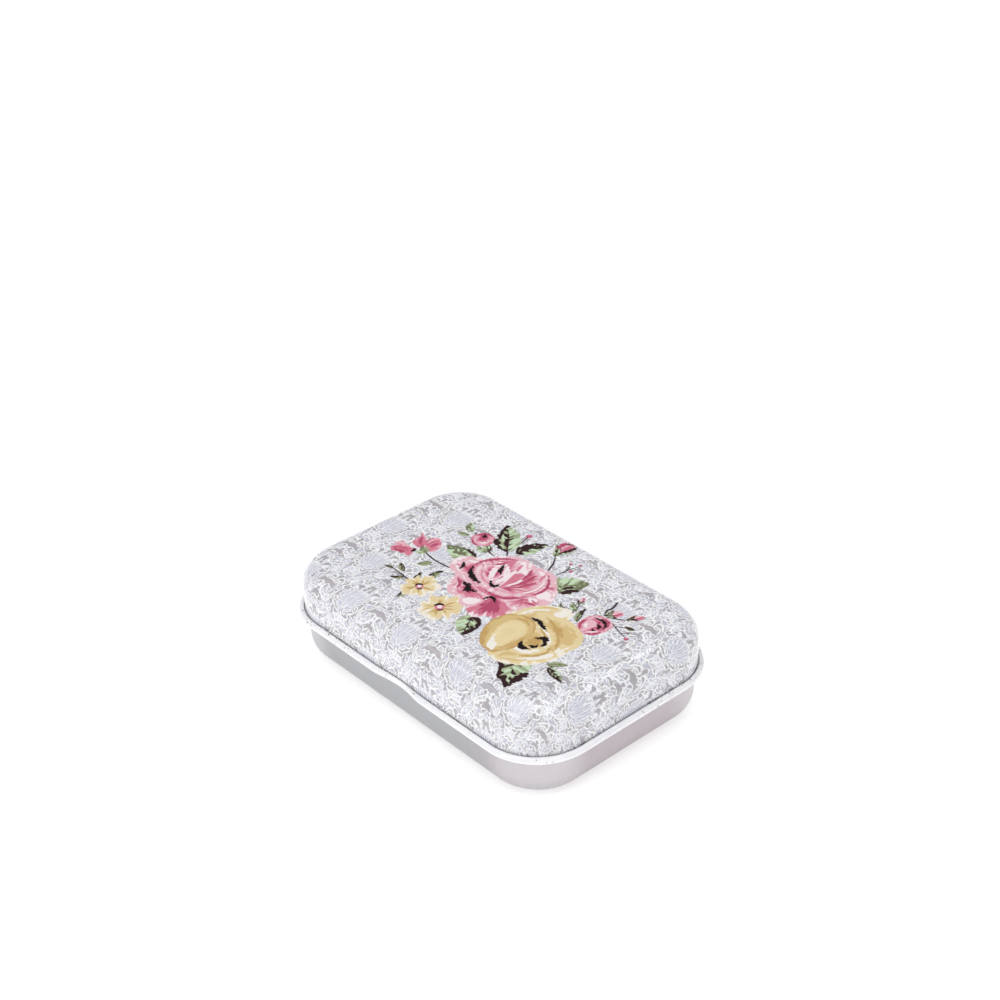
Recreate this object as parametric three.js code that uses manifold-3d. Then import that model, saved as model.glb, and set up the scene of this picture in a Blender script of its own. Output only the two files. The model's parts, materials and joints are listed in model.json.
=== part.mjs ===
// A flat hinged pocket tin: a drawn base pan, a drawn lid with a large rounded edge and an outward
// curled bead, and the steel wire that both are hinged on. Millimetres, +Z up. X runs along the long
// side, -Y is the front with the thumb notch, +Y is the hinge side. The origin is the middle of the
// face that the tin stands on.

import * as THREE from 'three';
import { mergeVertices } from 'three/addons/utils/BufferGeometryUtils.js';
import Module from 'manifold-3d';

const wasm = await Module();
wasm.setup();

// ---------------------------------------------------------------- driving dimensions

const LENGTH = 95;            // over the lid's bead, along X
const DEPTH = 63;             // over the lid's bead, along Y
const HEIGHT = 25;            // from the table to the lid's flat top
const CORNER_RADIUS = 15.3;   // plan corner radius at the bead's outermost line
const SHEET = 0.25;           // tinplate thickness

const BEAD_RADIUS = 0.85;     // outer radius of the lid's curl
const BEAD_HEIGHT = 12.5;     // height of the curl's centre line, which is also the hinge axis
const BEAD_END_DEG = 112.5;   // where the curl's edge stops, short of the skirt
const LID_EDGE_RADIUS = 5.5;  // outer radius between the lid's top and its skirt

const NOTCH_LENGTH = 19;      // thumb notch, along the front of the bead
const NOTCH_IN_SKIRT = 0.4;   // how far the skirt is pressed in there, at the bead's height
const NOTCH_IN_BEAD = 1.2;    // how far the outermost line of the bead is pressed in there
const NOTCH_FADE = 4.5;       // height over which the dent in the skirt fades out

const BASE_INSET = 2.3;       // base wall behind the bead's outermost line
const BASE_EDGE_RADIUS = 5.8; // outer radius between the base's floor and its wall
const RIM_RADIUS = 0.6;       // outer radius of the base's inward curl
const RIM_TOP = 15.5;         // height of the base's rim, inside the lid
const RIM_END_DEG = 247.5;    // where the rim's curl stops, short of the wall

const TAB_OFFSET = 22;        // hinge tabs, left and right of the middle
const TAB_WIDTH = 8;
const TAB_SIDE_GAP = 0.35;    // between a tab and each side of its window in the lid
const TAB_CURL_END_DEG = 180; // the tab is rolled round the wire from below to here
const WINDOW_ABOVE_AXIS = 1.3;

const WIRE_RADIUS = 0.5;
const WIRE_BEYOND_TAB = 3.5;  // how far the wire runs on inside the bead past each tab

const CORNER_STEPS = 8;       // facets round a quarter circle in plan
const NOTCH_STEPS = 10;
const EDGE_STEPS = 7;         // facets round the lid's and the base's large radii
const CURL_STEP_DEG = 22.5;   // largest facet of a curl
const FADE_STEPS = 3;
const WIRE_SIDES = 16;

// ---------------------------------------------------------------- worked out from them

const SKIRT_INSET = 2 * BEAD_RADIUS - SHEET;
const AXIS_Y = DEPTH / 2 - BEAD_RADIUS;
const CUT_MARGIN = 1;

const radians = THREE.MathUtils.degToRad;

// ---------------------------------------------------------------- rings round the plan outline

// Each station is a point on the rectangle of corner centres, with the direction outward from it.
function makeStations() {
  const halfX = LENGTH / 2 - CORNER_RADIUS;
  const halfY = DEPTH / 2 - CORNER_RADIUS;
  const stations = [];
  for (let i = 1; i < NOTCH_STEPS; i += 1) {
    const x = (i / NOTCH_STEPS - 0.5) * NOTCH_LENGTH;
    stations.push({ x, y: -halfY, angle: radians(-90) });
  }
  const corners = [[1, -1, -90], [1, 1, 0], [-1, 1, 90], [-1, -1, 180]];
  for (const [signX, signY, start] of corners) {
    for (let i = 0; i <= CORNER_STEPS; i += 1) {
      const angle = radians(start + (90 * i) / CORNER_STEPS);
      stations.push({ x: signX * halfX, y: signY * halfY, angle });
    }
  }
  return stations;
}

const STATIONS = makeStations();

// 1 in the middle of the thumb notch, falling smoothly to 0 at its ends, on the front side only.
function notchAt(station) {
  const onFront = Math.sin(station.angle) < -0.999;
  const reach = Math.abs(station.x) / (NOTCH_LENGTH / 2);
  return onFront && reach < 1 ? Math.cos((reach * Math.PI) / 2) ** 2 : 0;
}

// One closed ring: inset from the bead's outermost line, height, and how deep the notch goes in it.
function ring({ inset, z, dent = 0 }) {
  return STATIONS.map((station) => {
    const reach = CORNER_RADIUS - inset - dent * notchAt(station);
    const x = station.x + reach * Math.cos(station.angle);
    const y = station.y + reach * Math.sin(station.angle);
    return new THREE.Vector3(x, y, z);
  });
}

// A closed shell: rings joined in order, with a flat cap over the first one and the last one.
function shellGeometry(rows) {
  const points = [];
  const index = [];
  const count = STATIONS.length;
  rows.forEach((row) => points.push(...ring(row)));
  for (let r = 0; r + 1 < rows.length; r += 1) {
    for (let i = 0; i < count; i += 1) {
      const next = (i + 1) % count;
      const a = r * count + i;
      const b = r * count + next;
      index.push(a, a + count, b, b, a + count, b + count);
    }
  }
  addCap(points, index, 0, rows[0].z, false);
  addCap(points, index, (rows.length - 1) * count, rows[rows.length - 1].z, true);
  const geometry = new THREE.BufferGeometry();
  geometry.setAttribute('position', new THREE.Float32BufferAttribute(points.flatMap((p) => p.toArray()), 3));
  geometry.setIndex(index);
  return geometry;
}

function addCap(points, index, firstPoint, z, reversed) {
  const centre = points.length;
  const count = STATIONS.length;
  points.push(new THREE.Vector3(0, 0, z));
  for (let i = 0; i < count; i += 1) {
    const a = firstPoint + i;
    const b = firstPoint + ((i + 1) % count);
    index.push(centre, reversed ? b : a, reversed ? a : b);
  }
}

// Angles from start to end, in equal steps no larger than the curl's facet.
function anglesBetween(startDeg, endDeg) {
  const steps = Math.ceil(Math.abs(endDeg - startDeg) / CURL_STEP_DEG);
  return Array.from({ length: steps + 1 }, (_, i) => radians(startDeg + ((endDeg - startDeg) * i) / steps));
}

// ---------------------------------------------------------------- solids for cutting and joining

function toSolid(geometry) {
  const plain = geometry.clone();
  plain.deleteAttribute('normal');
  plain.deleteAttribute('uv');
  const merged = mergeVertices(plain, 1e-5);
  return new wasm.Manifold(new wasm.Mesh({
    numProp: 3,
    vertProperties: new Float32Array(merged.attributes.position.array),
    triVerts: new Uint32Array(merged.index.array),
  }));
}

function toGeometry(solid) {
  const mesh = solid.getMesh();
  const geometry = new THREE.BufferGeometry();
  geometry.setAttribute('position', new THREE.BufferAttribute(mesh.vertProperties, 3));
  geometry.setIndex(new THREE.BufferAttribute(mesh.triVerts, 1));
  geometry.computeVertexNormals();
  return geometry;
}

// A box between two corners, as a solid.
function boxSolid(low, high) {
  const geometry = new THREE.BoxGeometry(high[0] - low[0], high[1] - low[1], high[2] - low[2]);
  geometry.translate((low[0] + high[0]) / 2, (low[1] + high[1]) / 2, (low[2] + high[2]) / 2);
  return toSolid(geometry);
}

// ---------------------------------------------------------------- lid

// Depth of the notch in the skirt, fading out above the bead.
function skirtDent(z) {
  const fade = THREE.MathUtils.clamp((z - BEAD_HEIGHT) / NOTCH_FADE, 0, 1);
  return NOTCH_IN_SKIRT * Math.cos((fade * Math.PI) / 2) ** 2;
}

// The large rounded edge, from the flat top down to the skirt.
function lidEdgeRows(offset) {
  const radius = LID_EDGE_RADIUS - offset;
  return Array.from({ length: EDGE_STEPS + 1 }, (_, i) => {
    const turn = (Math.PI / 2) * (i / EDGE_STEPS);
    return {
      inset: SKIRT_INSET + LID_EDGE_RADIUS - radius * Math.sin(turn),
      z: HEIGHT - LID_EDGE_RADIUS + radius * Math.cos(turn),
    };
  });
}

function skirtRows(offset) {
  return Array.from({ length: FADE_STEPS }, (_, i) => {
    const z = BEAD_HEIGHT + NOTCH_FADE * (1 - i / FADE_STEPS);
    return { inset: SKIRT_INSET + offset, z, dent: skirtDent(z) };
  });
}

// The curl under the skirt: it runs down, outward and up, and is flattened in the thumb notch.
function beadRows(radius) {
  return anglesBetween(-180, BEAD_END_DEG).map((angle) => {
    const outward = ((1 + Math.cos(angle)) / 2) ** 2;
    return {
      inset: BEAD_RADIUS - radius * Math.cos(angle),
      z: BEAD_HEIGHT + radius * Math.sin(angle),
      dent: THREE.MathUtils.lerp(NOTCH_IN_SKIRT, NOTCH_IN_BEAD, outward),
    };
  });
}

function lidGeometry() {
  const outside = [...lidEdgeRows(0), ...skirtRows(0), ...beadRows(BEAD_RADIUS - SHEET)];
  const inside = [...lidEdgeRows(SHEET), ...skirtRows(SHEET), ...beadRows(BEAD_RADIUS)];
  let lid = toSolid(shellGeometry([...outside, ...inside.reverse()]));
  for (const side of [-1, 1]) {
    const half = TAB_WIDTH / 2 + TAB_SIDE_GAP;
    const middle = side * TAB_OFFSET;
    const low = [middle - half, AXIS_Y - BEAD_RADIUS - CUT_MARGIN, BEAD_HEIGHT - BEAD_RADIUS - CUT_MARGIN];
    const high = [middle + half, AXIS_Y + BEAD_RADIUS + CUT_MARGIN, BEAD_HEIGHT + WINDOW_ABOVE_AXIS];
    lid = lid.subtract(boxSolid(low, high));
  }
  return toGeometry(lid);
}

// ---------------------------------------------------------------- base

function baseEdgeRows(offset) {
  const radius = BASE_EDGE_RADIUS - offset;
  return Array.from({ length: EDGE_STEPS + 1 }, (_, i) => {
    const turn = (Math.PI / 2) * (i / EDGE_STEPS);
    return {
      inset: BASE_INSET + BASE_EDGE_RADIUS - radius * Math.sin(turn),
      z: BASE_EDGE_RADIUS - radius * Math.cos(turn),
    };
  });
}

// The rolled rim: it runs up, inward and down again inside the wall.
function rimRows(radius) {
  return anglesBetween(0, RIM_END_DEG).map((angle) => ({
    inset: BASE_INSET + RIM_RADIUS - radius * Math.cos(angle),
    z: RIM_TOP - RIM_RADIUS + radius * Math.sin(angle),
  }));
}

// A hinge tab: struck out of the wall, level below the wire, then rolled up and round it.
function tabSolid(middle) {
  const rootY = -(BASE_INSET + SHEET - BEAD_RADIUS);
  const inner = BEAD_RADIUS - SHEET;
  const shape = new THREE.Shape();
  shape.moveTo(rootY, -inner);
  shape.lineTo(rootY, -BEAD_RADIUS);
  for (const angle of anglesBetween(-90, TAB_CURL_END_DEG)) {
    shape.lineTo(BEAD_RADIUS * Math.cos(angle), BEAD_RADIUS * Math.sin(angle));
  }
  for (const angle of anglesBetween(TAB_CURL_END_DEG, -90)) {
    shape.lineTo(inner * Math.cos(angle), inner * Math.sin(angle));
  }
  const geometry = new THREE.ExtrudeGeometry(shape, { depth: TAB_WIDTH, bevelEnabled: false });
  // The shape's x is outward (+Y) and its y is up (+Z), so the extrusion runs along +X.
  const toRow = new THREE.Matrix4().makeBasis(
    new THREE.Vector3(0, 1, 0),
    new THREE.Vector3(0, 0, 1),
    new THREE.Vector3(1, 0, 0),
  );
  geometry.applyMatrix4(toRow);
  geometry.translate(middle - TAB_WIDTH / 2, AXIS_Y, BEAD_HEIGHT);
  return toSolid(geometry);
}

function baseGeometry() {
  const outside = [...baseEdgeRows(0), ...rimRows(RIM_RADIUS)];
  const inside = [...baseEdgeRows(SHEET), ...rimRows(RIM_RADIUS - SHEET)];
  let base = toSolid(shellGeometry([...inside, ...outside.reverse()]));
  const wallY = DEPTH / 2 - BASE_INSET;
  for (const side of [-1, 1]) {
    const middle = side * TAB_OFFSET;
    const half = TAB_WIDTH / 2;
    const tabMiddleHeight = BEAD_HEIGHT - BEAD_RADIUS + SHEET / 2;
    const low = [middle - half, wallY - 2 * RIM_RADIUS - CUT_MARGIN, tabMiddleHeight];
    const high = [middle + half, wallY + CUT_MARGIN, RIM_TOP + CUT_MARGIN];
    base = base.subtract(boxSolid(low, high)).add(tabSolid(middle));
  }
  return toGeometry(base);
}

// ---------------------------------------------------------------- hinge wire

function wireGeometry() {
  const length = 2 * (TAB_OFFSET + TAB_WIDTH / 2 + WIRE_BEYOND_TAB);
  const geometry = new THREE.CylinderGeometry(WIRE_RADIUS, WIRE_RADIUS, length, WIRE_SIDES);
  geometry.rotateZ(Math.PI / 2);
  geometry.translate(0, AXIS_Y, BEAD_HEIGHT);
  return geometry;
}

// ---------------------------------------------------------------- assembly

function addPiece(name, geometry, material) {
  const mesh = new THREE.Mesh(geometry, new THREE.MeshStandardMaterial(material));
  mesh.name = name;
  tin.add(mesh);
}

const tin = new THREE.Group();
addPiece('base', baseGeometry(), { color: 0xcfcacc, roughness: 0.4, metalness: 0.9 });
addPiece('lid', lidGeometry(), { color: 0xdcdae4, roughness: 0.25, metalness: 0.1 });
addPiece('hinge_wire', wireGeometry(), { color: 0xa9a9ac, roughness: 0.3, metalness: 1 });

export default tin;
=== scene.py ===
"""A flat hinged pocket tin: plain tinplate base, printed lid with a white curled bead, hinge wire."""
import json
import math

import bpy
import numpy as np
from mathutils import Matrix, Vector


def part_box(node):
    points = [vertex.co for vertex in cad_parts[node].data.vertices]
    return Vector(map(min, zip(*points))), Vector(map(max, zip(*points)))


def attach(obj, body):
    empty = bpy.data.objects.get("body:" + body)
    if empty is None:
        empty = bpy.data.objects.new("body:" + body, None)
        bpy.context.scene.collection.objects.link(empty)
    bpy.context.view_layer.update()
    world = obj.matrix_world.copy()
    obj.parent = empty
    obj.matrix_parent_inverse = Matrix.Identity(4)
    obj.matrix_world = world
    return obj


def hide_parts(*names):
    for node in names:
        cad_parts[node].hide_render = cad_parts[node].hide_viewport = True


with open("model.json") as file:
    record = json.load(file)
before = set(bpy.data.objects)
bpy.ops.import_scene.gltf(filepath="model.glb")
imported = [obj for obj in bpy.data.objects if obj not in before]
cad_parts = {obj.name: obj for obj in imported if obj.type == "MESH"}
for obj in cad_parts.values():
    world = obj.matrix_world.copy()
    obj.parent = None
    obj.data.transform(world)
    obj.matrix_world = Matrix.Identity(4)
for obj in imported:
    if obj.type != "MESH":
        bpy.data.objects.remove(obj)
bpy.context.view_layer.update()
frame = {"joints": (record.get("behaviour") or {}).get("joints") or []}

# ---------------------------------------------------------------- sizes, in millimetres

MM = 0.001  # metres in a millimetre: shapes are worked out in mm and made in metres

LID_LOW, LID_HIGH = (np.array(corner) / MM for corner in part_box("lid"))
HALF_X = (LID_HIGH[0] - LID_LOW[0]) / 2
HALF_Y = (LID_HIGH[1] - LID_LOW[1]) / 2
HEIGHT = LID_HIGH[2]
RIM_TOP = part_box("base")[1][2] / MM
HINGE = [value / MM for value in frame["joints"][0]["pos_m"]]
AXIS_Y = HINGE[1]
BEAD_HEIGHT = HINGE[2]
WIRE_LOW, WIRE_HIGH = (np.array(corner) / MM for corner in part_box("hinge_wire"))

CORNER_RADIUS = 15.3  # in plan, at the bead's outermost line
SHEET = 0.25
BEAD_RADIUS = HALF_Y - AXIS_Y
BEAD_END = 112.5  # degrees
SKIRT_INSET = 2 * BEAD_RADIUS - SHEET
LID_EDGE_RADIUS = 5.5
PLATE_INSET = SKIRT_INSET + LID_EDGE_RADIUS
NOTCH_LENGTH = 19.0
NOTCH_IN_SKIRT = 0.4
NOTCH_IN_BEAD = 1.2
NOTCH_FADE = 4.5
FLAT_RINGS = (6.0, 0.3)  # how far in from its edge a flat panel has a ring of points
STATION_STEP = 0.5  # about how far apart a ring's points are
EDGE_STEP = 4.0  # degrees between the rings of a rounded edge
CURL_STEP = 7.5  # and of a curl
SHARP = 40  # degrees: a turn sharper than this is shaded as an edge

BASE_INSET = 2.3
BASE_EDGE_RADIUS = 5.8
RIM_RADIUS = 0.6
RIM_END = 247.5  # degrees

TAB_OFFSET = 22.0  # a tab's middle, either side of the tin's
TAB_WIDTH = 8.0
TAB_SIDE_GAP = 0.35
WINDOW_ABOVE_AXIS = 1.3
WINDOW_STRIP = 0.1

WIRE_CHAMFER = 0.15
WIRE_SIDES = 48

SKIN = 0.04  # ink and lacquer on the lid, as a layer of its own
SKIN_STEP = 0.13  # spacing of the points that carry the print
SKIN_LOW = 0.45  # the layer starts this far above the bead's centre, down in the crevice
SKIN_CLEARANCE = 0.01  # between the layer's underside and the steel

# ---------------------------------------------------------------- colours, sRGB 0-255

LACE = (213, 215, 230)
LACE_LINE = (252, 253, 255)
GROUND_COOL = (187, 184, 193)
GROUND_WARM = (194, 189, 193)
BLUSH = (253, 240, 243)
SHELL = (239, 192, 203)
ROSE = (220, 130, 152)
WINE = (186, 80, 112)
CREASE = (22, 14, 16)
CHALK = (250, 246, 238)
IVORY = (250, 243, 228)
VANILLA = (244, 228, 188)
HONEY = (240, 221, 172)
CREAM = (236, 216, 168)
SAND = (222, 194, 136)
OCHRE = (202, 166, 104)
MINT = (204, 227, 192)
SAGE = (160, 172, 134)
OLIVE = (118, 122, 92)
BROWN = (52, 28, 32)
ENAMEL = (250, 250, 252)
ENAMEL_COOL = (246, 247, 252)
# the next two are the same white painted greyer, as painted shade inside the lid
ENAMEL_SHADED = (218, 219, 222)
ENAMEL_SHADED_COOL = (210, 212, 218)
BARE_SPOT = (146, 145, 150)
TIN_COOL = (168, 170, 173)
TIN_WARM = (184, 174, 179)
TIN_GREY = (162, 162, 165)
# the next is painted sheen: lighter tin laid round the base's corners
TIN_CORNER_SHEEN = (206, 203, 206)
TIN_PALE = (196, 193, 196)
TIN_DARK = (150, 146, 150)
TIN_MARK = (92, 88, 90)
WIRE_STEEL = (176, 175, 177)
WIRE_OXIDE = (120, 117, 116)
FLOOR = (225, 225, 225)

PRINT_WHITE = 0.86  # the share of light that the lilac ground and the lace's fill send back
INK_WHITE = 0.95  # the bouquet's inks
LINE_WHITE = 0.98  # and the white lines of the lace
FLOOR_GLOW = 0.75

# ---------------------------------------------------------------- the print, in millimetres

PRINT_SCALE = 12  # canvas points in a millimetre
INK_SOFTNESS = 0.06  # how far an ink's edge spreads
RIM_WOBBLE = 0.4  # how unevenly petals and leaves are cut

LACE_PITCH = (19.0, 27.2)  # from one motif to the next, across and up; the half drop lies between
LACE_SCALE = 16
LACE_ORIGIN = (-1.0, -31.5)
LACE_THREAD = 0.17  # the line round a leaf of the lace
SCROLL_GAIN = 1.35  # how much bolder the scrolls are drawn than their plan
SCROLL_GAP = 0.16  # bare ground left either side of a scroll
LACE_WAVER = 0.5  # how far the hand that drew it strays


# ---------------------------------------------------------------- meshes

def put_in_scene(name, data):
    made = bpy.data.objects.new(name, data)
    bpy.context.scene.collection.objects.link(made)
    return made


def mesh_object(name, points, faces, smooth_angle=None):
    """An object from points in mm and a list of faces, shaded smooth."""
    mesh = bpy.data.meshes.new(name)
    mesh.from_pydata([tuple(p) for p in np.asarray(points) * MM], [], faces)
    mesh.validate()
    mesh.polygons.foreach_set("use_smooth", np.ones(len(mesh.polygons), dtype=bool))
    if smooth_angle:
        mesh.set_sharp_from_angle(angle=math.radians(smooth_angle))
    mesh.update()
    return put_in_scene(name, mesh)


def ring_faces(rings, count):
    """The faces between rings of that many points each."""
    faces = []
    for r in range(rings - 1):
        for i in range(count):
            a, b = r * count + i, r * count + (i + 1) % count
            faces.append((a, a + count, b + count, b))
    return faces


def capped_faces(rings, count):
    """The faces between rings, with one more over the first ring and one over the last."""
    last = (rings - 1) * count
    caps = [tuple(range(count)), tuple(range(last + count - 1, last - 1, -1))]
    return ring_faces(rings, count) + caps


def rounded_rectangle(half_x, half_y, radius, side, fraction):
    """Points on a rounded rectangle, and the way outward at each.

    side is 0 front, 1 right, 2 back, 3 left; fraction runs along it, from the middle of one corner
    to the middle of the next. All arguments may be arrays."""
    radius = np.maximum(radius, 1e-9)
    along_x = (side == 0) | (side == 2)
    straight = np.where(along_x, half_x, half_y) - radius
    depth = np.where(along_x, half_y, half_x) - radius
    arc = radius * math.pi / 4
    distance = fraction * 2 * (straight + arc)
    along = np.clip(distance - arc - straight, -straight, straight)
    turn = (distance - arc - straight - along) / radius
    quarter = side * (math.pi / 2) - math.pi / 2
    normal_x, normal_y = np.cos(quarter), np.sin(quarter)
    out_x, out_y = np.cos(quarter + turn), np.sin(quarter + turn)
    x = depth * normal_x - along * normal_y + radius * out_x
    y = depth * normal_y + along * normal_x + radius * out_y
    return x, y, out_x, out_y


def notch(x, out_y):
    """1 in the middle of the thumb notch, falling to 0 at its ends."""
    reach = np.clip(np.abs(x) / (NOTCH_LENGTH / 2), 0, 1)
    return np.where(out_y < -0.999, np.cos(reach * math.pi / 2) ** 2, 0.0)


def skirt_dent(z):
    fade = np.clip((z - BEAD_HEIGHT) / NOTCH_FADE, 0, 1)
    return NOTCH_IN_SKIRT * np.cos(fade * math.pi / 2) ** 2


# ---------------------------------------------------------------- shells of rings

def station_list():
    """Where each ring has its points: (side, fraction), closer together round the corners."""
    stations = []
    for side in range(4):
        half = HALF_X if side % 2 == 0 else HALF_Y
        straight = half - CORNER_RADIUS
        arc = CORNER_RADIUS * math.pi / 4
        total = 2 * (straight + arc)
        count = int(total / STATION_STEP)
        stations += [(side, i / count) for i in range(count)]
    return np.array(stations)


STATIONS = station_list()


def ring(inset, z, dent=0.0):
    side, fraction = STATIONS[:, 0], STATIONS[:, 1]
    x, y, out_x, out_y = rounded_rectangle(HALF_X, HALF_Y, CORNER_RADIUS, side, fraction)
    reach = inset + dent * notch(x, out_y)
    return np.column_stack([x - out_x * reach, y - out_y * reach, np.full(len(x), z)])


def shell(name, rows, smooth_angle):
    """A closed shell of rings, its first and last each closed by triangles round a middle point."""
    count = len(STATIONS)
    middles = [(0, 0, rows[0][1]), (0, 0, rows[-1][1])]
    points = np.concatenate([ring(*row) for row in rows] + [middles])
    faces = ring_faces(len(rows), count)
    middle = len(rows) * count
    last = middle - count
    for i in range(count):
        after = (i + 1) % count
        faces.append((middle, i, after))
        faces.append((middle + 1, last + after, last + i))
    return mesh_object(name, points, faces, smooth_angle)


def angles(start, end, step=CURL_STEP):
    """From start to end, given in degrees, as radians."""
    count = math.ceil(abs(end - start) / step)
    return np.radians(np.linspace(start, end, count + 1))


def lid_edge_rows(offset):
    radius = LID_EDGE_RADIUS - offset
    flat = [(PLATE_INSET + reach, HEIGHT - offset, 0.0) for reach in FLAT_RINGS]
    turned = [(PLATE_INSET - radius * math.sin(t), HEIGHT - LID_EDGE_RADIUS + radius * math.cos(t), 0.0)
              for t in angles(0, 90, EDGE_STEP)]
    return flat + turned


def skirt_rows(offset):
    heights = BEAD_HEIGHT + NOTCH_FADE * np.linspace(1, 0, 13)[:-1]
    return [(SKIRT_INSET + offset, z, float(skirt_dent(z))) for z in heights]


def bead_rows(radius):
    rows = []
    for angle in angles(-180, BEAD_END):
        outward = ((1 + math.cos(angle)) / 2) ** 2
        dent = NOTCH_IN_SKIRT + (NOTCH_IN_BEAD - NOTCH_IN_SKIRT) * outward
        rows.append((BEAD_RADIUS - radius * math.cos(angle), BEAD_HEIGHT + radius * math.sin(angle), dent))
    return rows


def base_edge_rows(offset):
    radius = BASE_EDGE_RADIUS - offset
    inset = BASE_INSET + BASE_EDGE_RADIUS
    flat = [(inset + reach, offset) for reach in FLAT_RINGS]
    turned = [(inset - radius * math.sin(t), BASE_EDGE_RADIUS - radius * math.cos(t))
              for t in angles(0, 90, EDGE_STEP)]
    return flat + turned


def rim_rows(radius):
    return [(BASE_INSET + RIM_RADIUS - radius * math.cos(t), RIM_TOP - RIM_RADIUS + radius * math.sin(t))
            for t in angles(0, RIM_END)]


def cut(piece, low, high):
    """Takes a box out of a piece."""
    corners = [(x, y, z) for x in (low[0], high[0]) for y in (low[1], high[1]) for z in (low[2], high[2])]
    faces = [(0, 1, 3, 2), (4, 6, 7, 5), (0, 4, 5, 1), (2, 3, 7, 6), (0, 2, 6, 4), (1, 5, 7, 3)]
    cutter = mesh_object("cutter", corners, faces)
    combine(piece, cutter, "DIFFERENCE")


def combine(piece, other, operation):
    modifier = piece.modifiers.new("combine", "BOOLEAN")
    modifier.operation = operation
    modifier.object = other
    modifier.solver = "EXACT"
    graph = bpy.context.evaluated_depsgraph_get()
    mesh = bpy.data.meshes.new_from_object(piece.evaluated_get(graph))
    piece.modifiers.clear()
    piece.data = mesh
    bpy.data.objects.remove(other)


# ---------------------------------------------------------------- base

def make_base():
    outside = base_edge_rows(0) + rim_rows(RIM_RADIUS)
    inside = base_edge_rows(SHEET) + rim_rows(RIM_RADIUS - SHEET)
    base = shell("base_pan", inside + outside[::-1], SHARP)
    wall_y = HALF_Y - BASE_INSET
    for side in (-1, 1):
        middle = side * TAB_OFFSET
        low = (middle - TAB_WIDTH / 2, wall_y - 2 * RIM_RADIUS - 1, BEAD_HEIGHT - BEAD_RADIUS + SHEET / 2)
        high = (middle + TAB_WIDTH / 2, wall_y + 1, RIM_TOP + 1)
        cut(base, low, high)
        combine(base, make_tab(middle), "UNION")
    base.data.set_sharp_from_angle(angle=math.radians(SHARP))
    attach(base, "base")
    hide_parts("base")
    return base


def make_tab(middle):
    """A hinge tab: level below the wire, then rolled up and round it."""
    root = -(BASE_INSET + SHEET - BEAD_RADIUS)
    inner = BEAD_RADIUS - SHEET
    section = [(root, -inner), (root, -BEAD_RADIUS)]
    section += [(BEAD_RADIUS * math.cos(t), BEAD_RADIUS * math.sin(t)) for t in angles(-90, 180)]
    section += [(inner * math.cos(t), inner * math.sin(t)) for t in angles(180, -90)]
    ends = (middle - TAB_WIDTH / 2, middle + TAB_WIDTH / 2)
    points = [(x, AXIS_Y + y, BEAD_HEIGHT + z) for x in ends for y, z in section]
    return mesh_object("tab", points, capped_faces(2, len(section)))


# ---------------------------------------------------------------- lid

def make_lid_shell():
    """The lid's steel, coated white inside: the curl brings that side out as the bead."""
    under = SKIN + SKIN_CLEARANCE
    outside = lid_edge_rows(under) + skirt_rows(under) + bead_rows(BEAD_RADIUS - SHEET + under)
    inside = lid_edge_rows(SHEET) + skirt_rows(SHEET) + bead_rows(BEAD_RADIUS)
    lid = shell("lid_shell", outside + inside[::-1], SHARP)
    for side in (-1, 1):
        low, high = window_box(side)
        cut(lid, low, high)
    lid.data.set_sharp_from_angle(angle=math.radians(SHARP))
    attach(lid, "lid")
    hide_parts("lid")
    return lid


def window_box(side):
    half = TAB_WIDTH / 2 + TAB_SIDE_GAP
    middle = side * TAB_OFFSET
    low = (middle - half, AXIS_Y - BEAD_RADIUS - 1, BEAD_HEIGHT - BEAD_RADIUS - 1)
    high = (middle + half, AXIS_Y + BEAD_RADIUS + 1, BEAD_HEIGHT + WINDOW_ABOVE_AXIS)
    return low, high


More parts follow.
